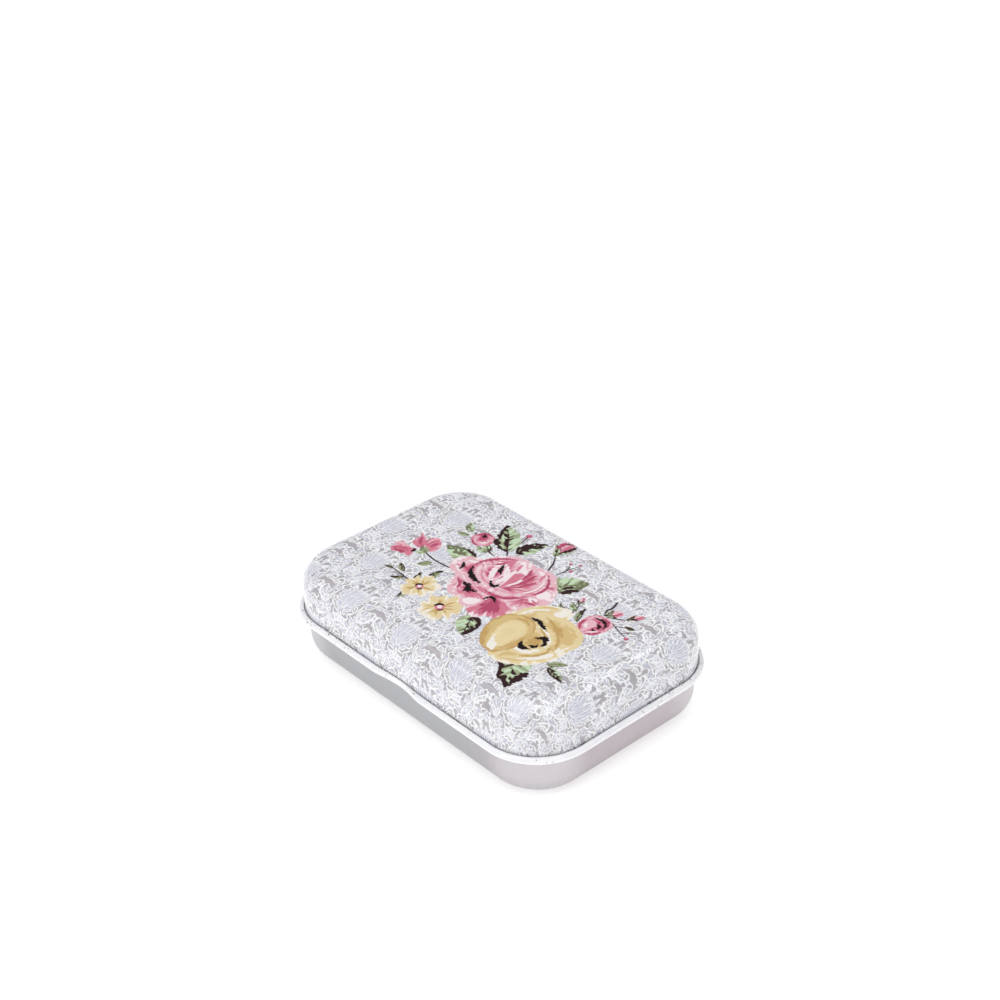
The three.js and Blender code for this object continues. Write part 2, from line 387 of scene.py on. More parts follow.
class SkinGrid:
    """One block of points over the lid's whole outside: a flat middle, the rounded edge, the skirt."""

    def __init__(self):
        plate_y = HALF_Y - PLATE_INSET
        edge = LID_EDGE_RADIUS * math.pi / 2
        skirt = HEIGHT - LID_EDGE_RADIUS - BEAD_HEIGHT - SKIN_LOW
        self.skirt_rings = round(skirt / SKIN_STEP)
        self.edge_rings = round(edge / SKIN_STEP)
        plate_rings = round(plate_y / SKIN_STEP)
        self.plate_rings = plate_rings
        self.middle_half = HALF_X - HALF_Y
        rings = self.skirt_rings + self.edge_rings + plate_rings
        self.ny = 2 * rings + 1
        self.nx = self.ny + 2 * round(self.middle_half / SKIN_STEP)

    def places(self, i, j):
        """Ring number from the outside, side, and fraction along it, of grid points."""
        m = np.minimum(np.minimum(i, self.nx - 1 - i), np.minimum(j, self.ny - 1 - j))
        long_side = np.maximum(self.nx - 1 - 2 * m, 1)
        short_side = np.maximum(self.ny - 1 - 2 * m, 1)
        side = np.select([m == j, m == self.nx - 1 - i, m == self.ny - 1 - j], [0, 1, 2], 3)
        fraction = np.select(
            [side == 0, side == 1, side == 2],
            [(i - m) / long_side, (j - m) / short_side, (self.nx - 1 - m - i) / long_side],
            (self.ny - 1 - m - j) / short_side,
        )
        return m, side, fraction

    def surface(self, m, side, fraction, depth=0.0):
        """Points at a depth under the surface, and their place on the flat print, both in mm."""
        skirt_part = np.clip(m / self.skirt_rings, 0, 1)
        edge_part = np.clip((m - self.skirt_rings) / self.edge_rings, 0, 1)
        plate_part = np.clip((m - self.skirt_rings - self.edge_rings) / self.plate_rings, 0, 1)
        turn = edge_part * math.pi / 2
        radius = LID_EDGE_RADIUS - depth
        inset = PLATE_INSET - radius * np.cos(turn)
        z = HEIGHT - LID_EDGE_RADIUS + radius * np.sin(turn)
        plate_x, plate_y = HALF_X - PLATE_INSET, HALF_Y - PLATE_INSET
        on_plate = plate_part > 0
        half_x = np.where(on_plate, plate_x + (self.middle_half - plate_x) * plate_part, HALF_X - inset)
        half_y = np.where(on_plate, plate_y * (1 - plate_part), HALF_Y - inset)
        corner = np.where(on_plate, (CORNER_RADIUS - PLATE_INSET) * (1 - plate_part), CORNER_RADIUS - inset)
        x, y, out_x, out_y = rounded_rectangle(half_x, half_y, corner, side, fraction)
        bottom = BEAD_HEIGHT + SKIN_LOW
        z = np.where(skirt_part < 1, bottom + (z - bottom) * skirt_part, z)
        # over a window the rows that would lie in it are pressed together into a strip along its top
        over_tab = (out_y > 0.999) & (np.abs(np.abs(x) - TAB_OFFSET) < TAB_WIDTH / 2 + TAB_SIDE_GAP)
        strip = BEAD_HEIGHT + WINDOW_ABOVE_AXIS + WINDOW_STRIP
        pressed = strip - WINDOW_STRIP * (strip - z) / (strip - bottom)
        z = np.where(over_tab & (z < strip), pressed, z)
        dent = skirt_dent(z) * notch(x, out_y)
        x, y = x - out_x * dent, y - out_y * dent
        beyond = (1 - edge_part) * LID_EDGE_RADIUS * math.pi / 2
        beyond = beyond + np.maximum(HEIGHT - LID_EDGE_RADIUS - z, 0)
        flat_x, flat_y, _, _ = rounded_rectangle(
            np.where(on_plate, half_x, plate_x), np.where(on_plate, half_y, plate_y),
            np.where(on_plate, corner, CORNER_RADIUS - PLATE_INSET), side, fraction)
        beyond = np.where(on_plate, 0, beyond)
        return np.column_stack([x, y, z]), flat_x + out_x * beyond, flat_y + out_y * beyond


def make_lid_print():
    grid = SkinGrid()
    j, i = np.divmod(np.arange(grid.nx * grid.ny), grid.nx)
    m, side, fraction = grid.places(i, j)
    top, u, v = grid.surface(m, side, fraction)
    corner = (np.arange(grid.ny - 1)[:, None] * grid.nx + np.arange(grid.nx - 1)).ravel()
    quads = [np.column_stack([corner, corner + 1, corner + grid.nx + 1, corner + grid.nx])]

    # The layer's underside: the same outer ring, then a few rings up to the flat middle.
    outer = np.concatenate([
        np.arange(grid.nx - 1),
        np.arange(grid.ny - 1) * grid.nx + grid.nx - 1,
        (grid.ny - 1) * grid.nx + np.arange(grid.nx - 1, 0, -1),
        np.arange(grid.ny - 1, 0, -1) * grid.nx,
    ])
    rings = np.unique(np.concatenate([
        np.linspace(0, grid.skirt_rings, 9),
        grid.skirt_rings + np.linspace(0, grid.edge_rings, 17),
    ]))
    points = [top]
    start = len(top)
    count = len(outer)
    previous = outer
    for number in rings:
        under, _, _ = grid.surface(np.full(count, number), side[outer], fraction[outer], SKIN)
        points.append(under)
        current = start + np.arange(count)
        quads.append(np.column_stack([previous, current, np.roll(current, -1), np.roll(previous, -1)]))
        previous = current
        start += count
    quads = np.concatenate(quads)
    last = previous[::-1]
    mesh = bpy.data.meshes.new("lid_print")
    points = np.concatenate(points)
    mesh.vertices.add(len(points))
    mesh.vertices.foreach_set("co", (points * MM).astype(np.float32).ravel())
    mesh.loops.add(quads.size + count)
    mesh.loops.foreach_set("vertex_index", np.concatenate([quads.ravel(), last]).astype(np.int32))
    mesh.polygons.add(len(quads) + 1)
    starts = np.append(np.arange(len(quads)) * 4, quads.size).astype(np.int32)
    mesh.polygons.foreach_set("loop_start", starts)
    mesh.polygons.foreach_set("use_smooth", np.ones(len(quads) + 1, dtype=bool))
    mesh.update(calc_edges=True)
    mesh.validate()
    piece = put_in_scene("lid_print", mesh)
    print_lid(piece, u, v)
    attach(piece, "lid")
    return piece


# ---------------------------------------------------------------- hinge wire

def make_wire():
    radius = (WIRE_HIGH[2] - WIRE_LOW[2]) / 2
    start, end = WIRE_LOW[0], WIRE_HIGH[0]
    rings = [(start, radius - WIRE_CHAMFER), (start + WIRE_CHAMFER, radius),
             (end - WIRE_CHAMFER, radius), (end, radius - WIRE_CHAMFER)]
    points = []
    for x, r in rings:
        points += [(x, AXIS_Y + r * across, BEAD_HEIGHT + r * up) for across, up in circle(WIRE_SIDES)]
    wire = mesh_object("hinge_wire_steel", points, capped_faces(len(rings), WIRE_SIDES), SHARP)
    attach(wire, "base")
    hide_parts("hinge_wire")
    return wire


# ---------------------------------------------------------------- drawing the print

def smooth_step(value, low, high):
    t = np.clip((value - low) / (high - low), 0, 1)
    return t * t * (3 - 2 * t)


def between(table, share, columns, rows):
    """A table's values part of the way from one column to the next, and from one row to the next."""
    (left, right), (low, high) = columns, rows
    bottom = table[low, left] * (1 - share[0]) + table[low, right] * share[0]
    top = table[high, left] * (1 - share[0]) + table[high, right] * share[0]
    return bottom * (1 - share[1]) + top * share[1]


def noise(x, y, seed):
    """Smooth noise from 0 to 1 over a plane, one unit to a bump."""
    size = 64
    table = np.random.default_rng(seed).random((size, size))
    column, row = np.floor(x).astype(int), np.floor(y).astype(int)
    share = smooth_step(x - column, 0, 1), smooth_step(y - row, 0, 1)
    return between(table, share, (column % size, (column + 1) % size), (row % size, (row + 1) % size))


def curve(points, steps=8, closed=False):
    """A smooth line through the points."""
    p = np.array(points, dtype=float)
    if closed:
        p = np.concatenate([p[-1:], p, p[:2]])
    else:
        p = np.concatenate([2 * p[:1] - p[1:2], p, 2 * p[-1:] - p[-2:-1]])
    t = np.linspace(0, 1, steps, endpoint=False)[:, None]
    parts = []
    for a, b, c, d in zip(p[:-3], p[1:-2], p[2:-1], p[3:]):
        parts.append(0.5 * (2 * b + (c - a) * t + (2 * a - 5 * b + 4 * c - d) * t**2
                            + (3 * b - a - 3 * c + d) * t**3))
    line = np.concatenate(parts)
    return line if closed else np.concatenate([line, p[-2:-1]])


def circle(count):
    turn = np.linspace(0, 2 * math.pi, count, endpoint=False)
    return np.column_stack([np.cos(turn), np.sin(turn)])


def spine(base, tip, bend, steps=14):
    """A bowed line from base to tip; bend is how far left its middle lies, as a share of its length."""
    base, tip = np.array(base, dtype=float), np.array(tip, dtype=float)
    across = np.array([base[1] - tip[1], tip[0] - base[0]])
    t = np.linspace(0, 1, steps)[:, None]
    return base + (tip - base) * t + across * bend * 4 * t * (1 - t)


def outline_round(line, half):
    """The closed outline of a shape that reaches half to either side of a line."""
    step = np.gradient(line, axis=0)
    normal = np.column_stack([-step[:, 1], step[:, 0]]) / np.linalg.norm(step, axis=1)[:, None]
    half = half[:, None]
    return np.concatenate([line + normal * half, (line - normal * half)[-2:0:-1]])


class Canvas:
    """A flat picture in millimetres: an ink colour, and how much of it, at every point."""

    def __init__(self, low, high, scale=PRINT_SCALE):
        self.low = np.array(low, dtype=float)
        self.scale = scale
        size = np.ceil((np.array(high) - low) * scale).astype(int) + 1
        self.colour = np.zeros((size[1], size[0], 3), dtype=np.float32)
        self.cover = np.zeros((size[1], size[0]), dtype=np.float32)

    def window(self, points, margin):
        """The part of the canvas round some points, and the millimetres at each of its points."""
        points = np.asarray(points)
        limit = np.array(self.cover.shape[::-1])
        first = np.clip(((points.min(0) - margin - self.low) * self.scale).astype(int), 0, limit - 1)
        last = np.clip(((points.max(0) + margin - self.low) * self.scale).astype(int) + 2, 1, limit)
        x = self.low[0] + np.arange(first[0], last[0]) / self.scale
        y = self.low[1] + np.arange(first[1], last[1]) / self.scale
        x, y = np.meshgrid(x, y)
        return (slice(first[1], last[1]), slice(first[0], last[0])), x, y

    def lay(self, part, amount, ink):
        ink = np.asarray(ink, dtype=np.float32)
        keep = (1 - amount)[..., None]
        self.colour[part] = self.colour[part] * keep + ink * amount[..., None]
        self.cover[part] = self.cover[part] * keep[..., 0] + amount


def from_piece(a, b, x, y):
    """How far along from a to b each point is nearest, as a share, and its x and y from there."""
    (ax, ay), (bx, by) = a, b
    dx, dy = bx - ax, by - ay
    t = np.clip(((x - ax) * dx + (y - ay) * dy) / max(dx * dx + dy * dy, 1e-12), 0, 1)
    return t, x - ax - t * dx, y - ay - t * dy


def inside_distance(line, x, y):
    """How far inside a closed line each point is, in mm; less than 0 is outside."""
    nearest = np.full(x.shape, 1e9)
    inside = np.zeros(x.shape, dtype=bool)
    for a, b in zip(line, np.roll(line, -1, axis=0)):
        _, off_x, off_y = from_piece(a, b, x, y)
        nearest = np.minimum(nearest, off_x**2 + off_y**2)
        if a[1] != b[1]:
            crosses = (a[1] > y) != (b[1] > y)
            inside ^= crosses & (x < (b[0] - a[0]) * (y - a[1]) / (b[1] - a[1]) + a[0])
    return np.where(inside, 1, -1) * np.sqrt(nearest)


def stroke_distance(line, widths, x, y):
    """How far inside a tapering stroke each point is."""
    best = np.full(x.shape, -1e9)
    for a, b, wide_a, wide_b in zip(line[:-1], line[1:], widths[:-1], widths[1:]):
        t, off_x, off_y = from_piece(a, b, x, y)
        best = np.maximum(best, wide_a + (wide_b - wide_a) * t - np.hypot(off_x, off_y))
    return best


def edge(distance, softness=INK_SOFTNESS):
    return smooth_step(distance, -softness, softness)


def blot(canvas, points, ink):
    """A flat patch of one ink."""
    line = curve(points, closed=True)
    part, x, y = canvas.window(line, 0.3)
    canvas.lay(part, edge(inside_distance(line, x, y)), ink)


def stroke(canvas, points, width, ink, tail=0.3):
    """A brush line of that width in mm, thinner at both ends: tail is the share left at the far end."""
    line = curve(points, 6)
    along = np.linspace(0, 1, len(line))
    widths = width / 2 * (tail + (1 - tail) * np.sin(np.pi * np.clip(along * 0.8 + 0.2, 0, 1)) ** 0.7)
    part, x, y = canvas.window(line, width + 0.2)
    canvas.lay(part, edge(stroke_distance(line, widths, x, y)), ink)


def crease(canvas, points, width, ink=CREASE, seed=1):
    """A brush mark pointed at both ends, with a broken edge."""
    line = curve(points, 8)
    along = np.linspace(0, 1, len(line))
    widths = width / 2 * np.sin(np.pi * along) ** 0.75
    part, x, y = canvas.window(line, width + 0.3)
    broken = 0.45 * width * (noise(x * 2.6, y * 2.6, seed) - 0.5)
    canvas.lay(part, edge(stroke_distance(line, widths, x, y) + broken), ink)


def creases(canvas, seed, rows):
    """Brush marks: each row has points, a width and, unless it is black, an ink."""
    for points, width, *ink in rows:
        crease(canvas, points, width, *ink, seed=seed)


def petal(canvas, points, root, tones, seed, ragged=0.35, rays=5.0):
    """A petal whose tones run out from its root in ragged streaks.

    tones are (level, ink) from the root, at 0, to the rim, at 1; rays is how many streaks to a radian."""
    line = curve(points, closed=True)
    part, x, y = canvas.window(line, 0.5)
    inside = inside_distance(line, x, y) + RIM_WOBBLE * (noise(x * 1.1, y * 1.1, seed + 7) - 0.5)
    dx, dy = x - root[0], y - root[1]
    away = np.hypot(dx, dy)
    level = away / (away + np.maximum(inside, 0) + 1e-6)
    middle = math.atan2(*(line.mean(0) - root)[::-1])
    angle = np.mod(np.arctan2(dy, dx) - middle + math.pi, 2 * math.pi)
    broad = noise(angle * rays, away * 0.25, seed)
    narrow = noise(angle * rays * 2.7, away * 0.5, seed + 1)
    level = level + ragged * (broad * 0.6 + narrow * 0.4 - 0.5)
    ink = np.empty(x.shape + (3,), dtype=np.float32)
    ink[:] = tones[0][1]
    for start, tone in tones[1:]:
        amount = smooth_step(level, start - 0.03, start + 0.03)[..., None]
        ink = ink * (1 - amount) + np.array(tone, dtype=np.float32) * amount
    canvas.lay(part, edge(inside), ink)


def petals(canvas, rows):
    for row in rows:
        petal(canvas, *row)


def pinks(*levels):
    """A petal's tones from deep pink outward, each ink starting at its level."""
    return list(zip((0, *levels), (WINE, ROSE, SHELL, BLUSH)))


def golds(*levels):
    return list(zip((0, *levels), (OCHRE, SAND, CREAM, IVORY)))


def paint_leaf(canvas, outline, base, tip, bend, width, light, dark, seed, share):
    """A leaf's inks: a pale ground, darker streaks that slant out from its rib, and a dark edge.

    share is how far in the dark edge comes, from the right of base to tip, or if it is negative
    from the left."""
    part, x, y = canvas.window(outline, 0.3)
    inside = inside_distance(outline, x, y)
    inside = inside + RIM_WOBBLE * 0.6 * (noise(x * 1.9, y * 1.9, seed + 9) - 0.5)
    canvas.lay(part, edge(inside), light)
    length = np.hypot(tip[0] - base[0], tip[1] - base[1])
    along = (np.array(tip) - base) / length
    run = (x - base[0]) * along[0] + (y - base[1]) * along[1]
    side = -(x - base[0]) * along[1] + (y - base[1]) * along[0]
    share_of = np.clip(run / length, 0, 1)
    side = side - bend * length * 4 * share_of * (1 - share_of)
    slant = run - np.abs(side) * 0.8
    hand = 40 * (side > 0)  # the two halves have streaks of their own
    out = np.abs(side) / width
    streak = noise(slant * 1.3 + hand, np.abs(side) * 0.3 + 5, seed + 5)
    canvas.lay(part, edge(inside) * smooth_step(streak, 0.5, 0.56) * 0.9, SAGE)
    streak = noise(slant * 1.7 + hand, np.abs(side) * 0.25 + 9, seed)
    canvas.lay(part, edge(inside) * smooth_step(streak - out * 1.3, 0.46, 0.52), dark)
    near = smooth_step(-side * math.copysign(1, share), -0.12 * width, 0.1 * width)
    reach = width * near * (0.06 + 0.6 * abs(share) * noise(slant * 1.3, side + 3, seed + 2))
    canvas.lay(part, edge(inside) * edge(reach - inside), dark)


def leaf(canvas, base, tip, width, bend, light, dark, seed, share=0.5, teeth=0):
    """A leaf from base to tip, with that many teeth along each edge."""
    line = spine(base, tip, bend, 6 * teeth + 14)
    t = np.linspace(0, 1, len(line))
    half = width / 2 * np.sin(np.pi * t**0.75) ** 0.8
    if teeth:
        half = half * (0.84 + 0.28 * np.mod(t * teeth, 1))
    paint_leaf(canvas, outline_round(line, half), base, tip, bend, width, light, dark, seed, share)
    stroke(canvas, line[:: max(len(line) // 5, 1)], 0.2 if width < 2.5 else 0.28, dark)


def stem(canvas, points, width):
    stroke(canvas, points, width, BROWN, tail=0.55)


def berry(canvas, place, radius):
    ring = circle(12) * radius
    blot(canvas, ring + place, WINE)
    blot(canvas, ring * 0.5 + place + (-0.2 * radius, 0.25 * radius), ROSE)


def bud(canvas, base, tip, width, seed, green=MINT):
    """A closed bud: pink petals wrapped round one another, held by sepals at its base."""
    base, tip = np.array(base, dtype=float), np.array(tip, dtype=float)
    along = tip - base
    across = np.array([-along[1], along[0]]) / np.linalg.norm(along) * width / 2
    body = [base, base + along * 0.35 + across, base + along * 0.8 + across * 0.75, tip,
            base + along * 0.8 - across * 0.75, base + along * 0.35 - across]
    petal(canvas, body, base, pinks(0.55, 0.96), seed, 0.6, 5)
    fold = [base + along * 0.1, base + along * 0.4 + across * 0.9, tip - along * 0.08 + across * 0.25,
            base + along * 0.55 - across * 0.1]
    petal(canvas, fold, base, [(0, ROSE), (0.62, SHELL), (0.97, BLUSH)], seed + 3, 0.6, 6)
    seam = [base + along * 0.15 - across * 0.2, base + along * 0.6 - across * 0.35, tip - along * 0.1]
    stroke(canvas, seam, 0.3, WINE)
    for hand in (-1, 1):
        sepal = base + along * 0.5 + across * 1.25 * hand
        bend = -0.12 * hand
        leaf(canvas, base - along * 0.15, sepal, width * 0.42, bend, green, BROWN, seed + hand, 0.3 * hand)


def open_flower(canvas, centre, radius, seed, turn):
    """A small five-petalled blossom with a berry-coloured eye."""
    centre = np.array(centre, dtype=float)
    rng = np.random.default_rng(seed)
    # along and across each petal, from its root round its notched tip and back
    shape = [(0, 0), (0.45, 0.38), (0.85, 0.42), (1, 0.16), (0.86, -0.1), (0.85, -0.42), (0.42, -0.36)]
    for number in range(5):
        angle = turn + number * 2 * math.pi / 5 + rng.uniform(-0.12, 0.12)
        reach = radius * rng.uniform(0.9, 1.08)
        out = np.array([math.cos(angle), math.sin(angle)]) * reach
        across = np.array([-out[1], out[0]])
        points = np.array([centre + out * a + across * b for a, b in shape])
        points = points + rng.uniform(-0.07, 0.07, (7, 2)) * radius
        petal(canvas, points, centre, golds(0.18, 0.3, 0.78 + 0.3 * rng.random()), seed + number, 0.5, 5)
        for _ in range(3):
            lean = across * rng.uniform(-0.25, 0.25)
            tip = centre + out * rng.uniform(0.5, 0.75) + lean
            crease(canvas, [centre, centre + out * 0.3 + lean * 0.4, tip], 0.42, OCHRE, seed + number)
    eye = circle(10)
    blot(canvas, centre + eye * radius * 0.2, ROSE)
    blot(canvas, centre + eye * radius * 0.11 + (-0.1, 0.1), BLUSH)
    crease(canvas, centre + eye[2:7] * radius * 0.22, 0.75, CREASE, seed)
    crease(canvas, centre + eye[[8, 9, 0]] * radius * 0.22, 0.6, BROWN, seed + 1)


# ---------------------------------------------------------------- the bouquet

# all points are in mm from the lid's middle, x to the right and y to the hinge

ROSE_BACK = [(-16.2, 2), (-14.6, 4.8), (-10.6, 6.2), (-9.4, 10), (-6.6, 12.4), (-3.4, 13.5),
    (0.6, 13.2), (4.2, 14), (7.6, 13), (10.2, 10.6), (12.8, 8), (14, 4.6), (12.6, 0), (10.2, -3.4),
    (10, -8), (7, -9.4), (4.6, -11.8), (1.4, -10.2), (-3.6, -9.2), (-7.6, -8.2), (-10, -5), (-11, -2.9),
    (-14.6, -1.8)]
ROSE_PETALS = [  # outline, root, share of the darkest ink
    ([(-16.2, 2), (-14.6, 4.8), (-11.2, 6.2), (-8.4, 6.6), (-7.6, 3), (-8.6, -0.8), (-10.8, -2.9),
     (-14.6, -1.8)], (-8.2, 1.6), 0.34),
    ([(-14.6, 0.6), (-12, 3.6), (-9, 4.4), (-8.6, 1), (-10.6, -1.6)], (-10, 0.6), 0.4),
    ([(-10.8, 5.6), (-9.6, 9.8), (-6.8, 12.4), (-3.6, 13.5), (-0.8, 12.8), (-3.6, 9), (-8, 6)], (-6.8,
     7), 0.3),
    ([(6.4, 13.4), (9.4, 11.4), (12.4, 8.4), (11.6, 4.6), (8.6, 4.2), (6.6, 8.4)], (8, 7.4), 0.42),
    ([(9.4, 8.8), (12.8, 7.8), (14, 4.6), (12.9, 0.4), (9.8, -2.8), (5.6, -1.8), (7.6, 2.4), (9, 5.4)],
     (8.2, 1.4), 0.3),
    ([(-3.4, 12.6), (0.6, 13.2), (4.2, 14), (7.4, 13.2), (8.8, 9.8), (7, 7), (2, 8.6), (-1.6, 9.6)], (3,
     8.4), 0.3),
    ([(2.6, -2.4), (7, -2.6), (10.3, -4.3), (10, -8), (7.2, -9.3), (5.3, -12), (3, -11), (1.4, -10),
     (1.8, -5)], (3.2, -2.8), 0.68),
    ([(-9.4, -1.8), (-10.4, -4.6), (-7.8, -8.2), (-4.6, -9.2), (-4.4, -5)], (-6.8, -3.4), 0.3),
    ([(-6.8, -3.2), (-7.2, -6.6), (-4, -9.2), (0.2, -10.2), (2.2, -8.6), (2, -4.4), (-1, -3)], (-4.2,
     -4.2), 0.42),
]
# its shoulders, the walls inside it, then the front lip: outline, root, tones, seed, ragged, rays
ROSE_BOWL = [
    ([(-10.6, 4.4), (-10, 1), (-6.6, -1.8), (-1, -3.3), (4.4, -2.2), (8, 1.8), (9, 6.6), (7.6, 10.2),
     (3, 8), (-4, 7)], (0, 5), [(0, SHELL), (0.8, BLUSH), (0.86, SHELL), (0.93, ROSE)], 31, 0.16, 7),
    ([(-1.6, 9.4), (0.6, 12), (4.4, 12.6), (7.8, 10.2), (8.4, 6), (6.4, 2.2), (1.8, 0.4), (-0.2, 3)],
     (1.2, 1.6), [(0, ROSE), (0.14, WINE), (0.48, ROSE), (0.68, SHELL), (0.95, BLUSH)], 35, 0.8, 7),
    ([(-10.4, 4.4), (-9.4, 8.2), (-6, 11.2), (-2.2, 12.2), (-0.4, 9), (-0.8, 4), (-4.4, 2),
     (-8.4, 2.6)], (-3, 3), pinks(0.48, 0.7, 0.92), 33, 0.7, 7),
    ([(-0.6, 10.6), (1.8, 9), (2.6, 5.6), (1.4, 1.6), (0.2, 1.2), (-0.4, 4.4), (-2, 7.6)], (0.6, 1),
     [(0, WINE), (0.55, ROSE), (0.86, BLUSH)], 47, 0.5, 9),
    ([(-8.8, 4), (-7, 7), (-4.8, 8.8), (-3, 7), (-2.4, 3.6), (-3.8, 1.6), (-6.6, 1.8)], (-4.6, 3),
     pinks(0.5, 0.72, 0.93), 39, 0.5, 6),
    ([(-10.2, 4.8), (-9.6, 1.4), (-6.2, -1), (-1.4, -2.5), (3.6, -1.7), (7.2, 1.8), (8.2, 6.4),
     (7.6, 9), (6.4, 5.2), (4.8, 2), (1.2, 0.2), (-3.2, 0.4), (-6.6, 2), (-8.8, 4.4)], (-2, 9),
     [(0, BLUSH), (0.9, SHELL), (0.972, ROSE)], 37, 0.1, 9),
    ([(-4.6, 8.4), (-2.6, 7.4), (-0.8, 5.2), (0.2, 2.2), (-0.6, 0.6), (-1.8, 2.2), (-2.3, 4.8),
     (-3.8, 6.2)], (-0.6, 0.8), [(0, BLUSH), (0.5, SHELL), (0.8, BLUSH)], 43, 0.5, 6),
    ([(-6.6, 5), (-5.6, 6), (-4.4, 4.2), (-3, 1.6), (-4.8, 2.2)], (-3.6, 2), [(0, SHELL), (0.5, BLUSH)],
     41, 0.5, 6),
]
ROSE_GLINTS = [
    [(9.2, 7.4), (11.4, 7.6), (12.6, 5.8), (11, 4.4), (9.2, 5)],
    [(9, 2.8), (10.2, 3.8), (11.4, 3.2), (10.4, 2)],
    [(-1, -7), (1.4, -5.6), (1.8, -7.4), (0.2, -9.2), (-2, -8.8)],
    [(-13.4, 3.4), (-11.6, 4.6), (-10.4, 4.8), (-12, 3.4)],
]
ROSE_HOLLOWS = [
    ([(-5.6, 8.2), (-4.7, 6.2), (-3.2, 4.8)], 1.15),
    ([(-3.8, 1.8), (-2, 0.6), (-0.8, 0.2), (-0.2, 1), (-0.2, 2.4)], 0.95),
    ([(-10.7, 2.4), (-8.8, 0.1), (-6.4, -0.9), (-4, -1.2)], 1.6),
    ([(-13.8, 2.2), (-12.4, 0.8), (-12.2, -0.8)], 1.0),
    ([(-7.6, -3.7), (-5.4, -3.9), (-3.8, -5), (-1.8, -4.2)], 1.7),
    ([(-4.9, -3.2), (-4.4, -4.8), (-4.1, -6.3)], 1.3),
    ([(1.7, -5.2), (2, -3.6), (3.2, -3.2), (4.6, -4)], 0.9),
]
ROSE_FOLDS = [
    ([(-1, -2.4), (3, -2.1), (5.6, -0.6), (8.2, 2.6)], 0.9, WINE),
    ([(-11, 2.6), (-10.4, 6.2), (-8, 9.6), (-5, 12)], 1.0, WINE),
    ([(-7.6, 6.4), (-6.4, 8.2), (-5.4, 10.4)], 0.7, WINE),
    ([(0.6, 11.6), (1.6, 9.4), (2.4, 6.4)], 0.8, WINE),
    ([(3.2, 10.8), (3.2, 8), (2.8, 4.6)], 1.1, WINE),
    ([(5.4, 9), (4.6, 6), (3.2, 3)], 0.8, WINE),
    ([(-9.6, -3.4), (-7.4, -4.6), (-6, -6.8)], 0.8, WINE),
    ([(4.4, -4), (5.4, -7), (5.2, -10)], 1.0, WINE),
    ([(5.4, 12.6), (8, 10), (9.2, 7), (8.6, 4)], 0.9, WINE),
    ([(5.6, 2.4), (7.2, 5), (7.2, 8.6), (5.8, 10.8)], 0.6, BLUSH),
    ([(-8.6, 8), (-6.4, 9.6), (-4.6, 12.4)], 0.8, ROSE),
    ([(4.4, 12.8), (5, 10.6), (5.8, 8.8)], 0.7, ROSE),
    ([(9.2, 0.6), (10.8, 1.4), (12.8, 1.8)], 0.6, WINE),
    ([(9.8, 3), (11, 2.6), (12.6, 2.9)], 0.45, WINE),
    ([(-2.6, 11.8), (-2.2, 10), (-1.2, 8.2)], 0.8, ROSE),
    ([(-6.6, -6.2), (-4.6, -7.2), (-3, -6.6), (-1.6, -5.4)], 0.7, ROSE),
]

def big_rose(canvas):
    blot(canvas, ROSE_BACK, SHELL)
    for number, (points, root, dark) in enumerate(ROSE_PETALS):
        petal(canvas, points, root, pinks(dark, dark + 0.24, 0.97), 11 + number, 0.8, 5)
    petals(canvas, ROSE_BOWL)
    for points in ROSE_GLINTS:
        petal(canvas, points, points[0], [(0, BLUSH)], 3)
    creases(canvas, 5, ROSE_HOLLOWS)
    creases(canvas, 8, ROSE_FOLDS)


# outline, root, tones, seed, ragged, rays; the last two are the front petal
YELLOW_PETALS = [
    ([(10.4, -5), (11.4, -0.6), (13.6, 3.4), (17, 5.6), (19.6, 6.4), (21.8, 4.4), (21.6, 1.6), (19, -1),
     (14, -3)], (14.6, -2.4), golds(0.26, 0.5, 0.97), 61, 0.3, 5),
    ([(19.4, 2.4), (24, 3.2), (28.6, 1.6), (30.9, -1.6), (30.6, -5.6), (28, -9), (24, -7), (19, -3)],
     (20.6, -3), golds(0.42, 0.7), 62, 0.5, 5),
    ([(30.4, -6), (31.2, -7.6), (29.6, -13), (26.4, -16.8), (21.6, -19.2), (17.8, -17.4), (19, -9),
     (26, -6)], (20, -8), golds(0.45, 0.58, 0.95), 63, 0.45, 7),
    ([(16.6, -1.4), (21.6, -1.6), (26.4, -4), (28.2, -8), (26.6, -12.6), (22, -15.4), (18.4, -12),
     (16, -6)], (22, -8), [(0, OCHRE), (0.4, SAND), (0.58, CREAM), (0.92, SAND)], 64, 0.4, 6),
    ([(18.6, -3.6), (22.4, -3.6), (25.6, -6), (25.8, -10.2), (23, -13), (19.4, -12)], (22.8, -8),
     golds(0.4, 0.62, 0.85), 65, 0.5, 7),
    ([(9.4, -8), (10.8, -4.4), (14.2, -2.4), (17.4, -3), (19.8, -5.6), (20.6, -9.4), (20.4, -13.4),
     (18.6, -17.8), (14.2, -17), (10.8, -13.4)], (17.4, -8.4), [(0, CREAM), (0.62, SAND),
     (0.93, OCHRE)], 66, 0.2, 4),
    ([(12.2, -8), (13.4, -5.4), (16, -5), (18, -7.4), (18.8, -11), (18.6, -14.6), (16, -16.4),
     (13.4, -12.6)], (16, -9.6), [(0, CREAM), (0.4, HONEY), (0.9, CREAM)], 67, 0.5, 5),
]
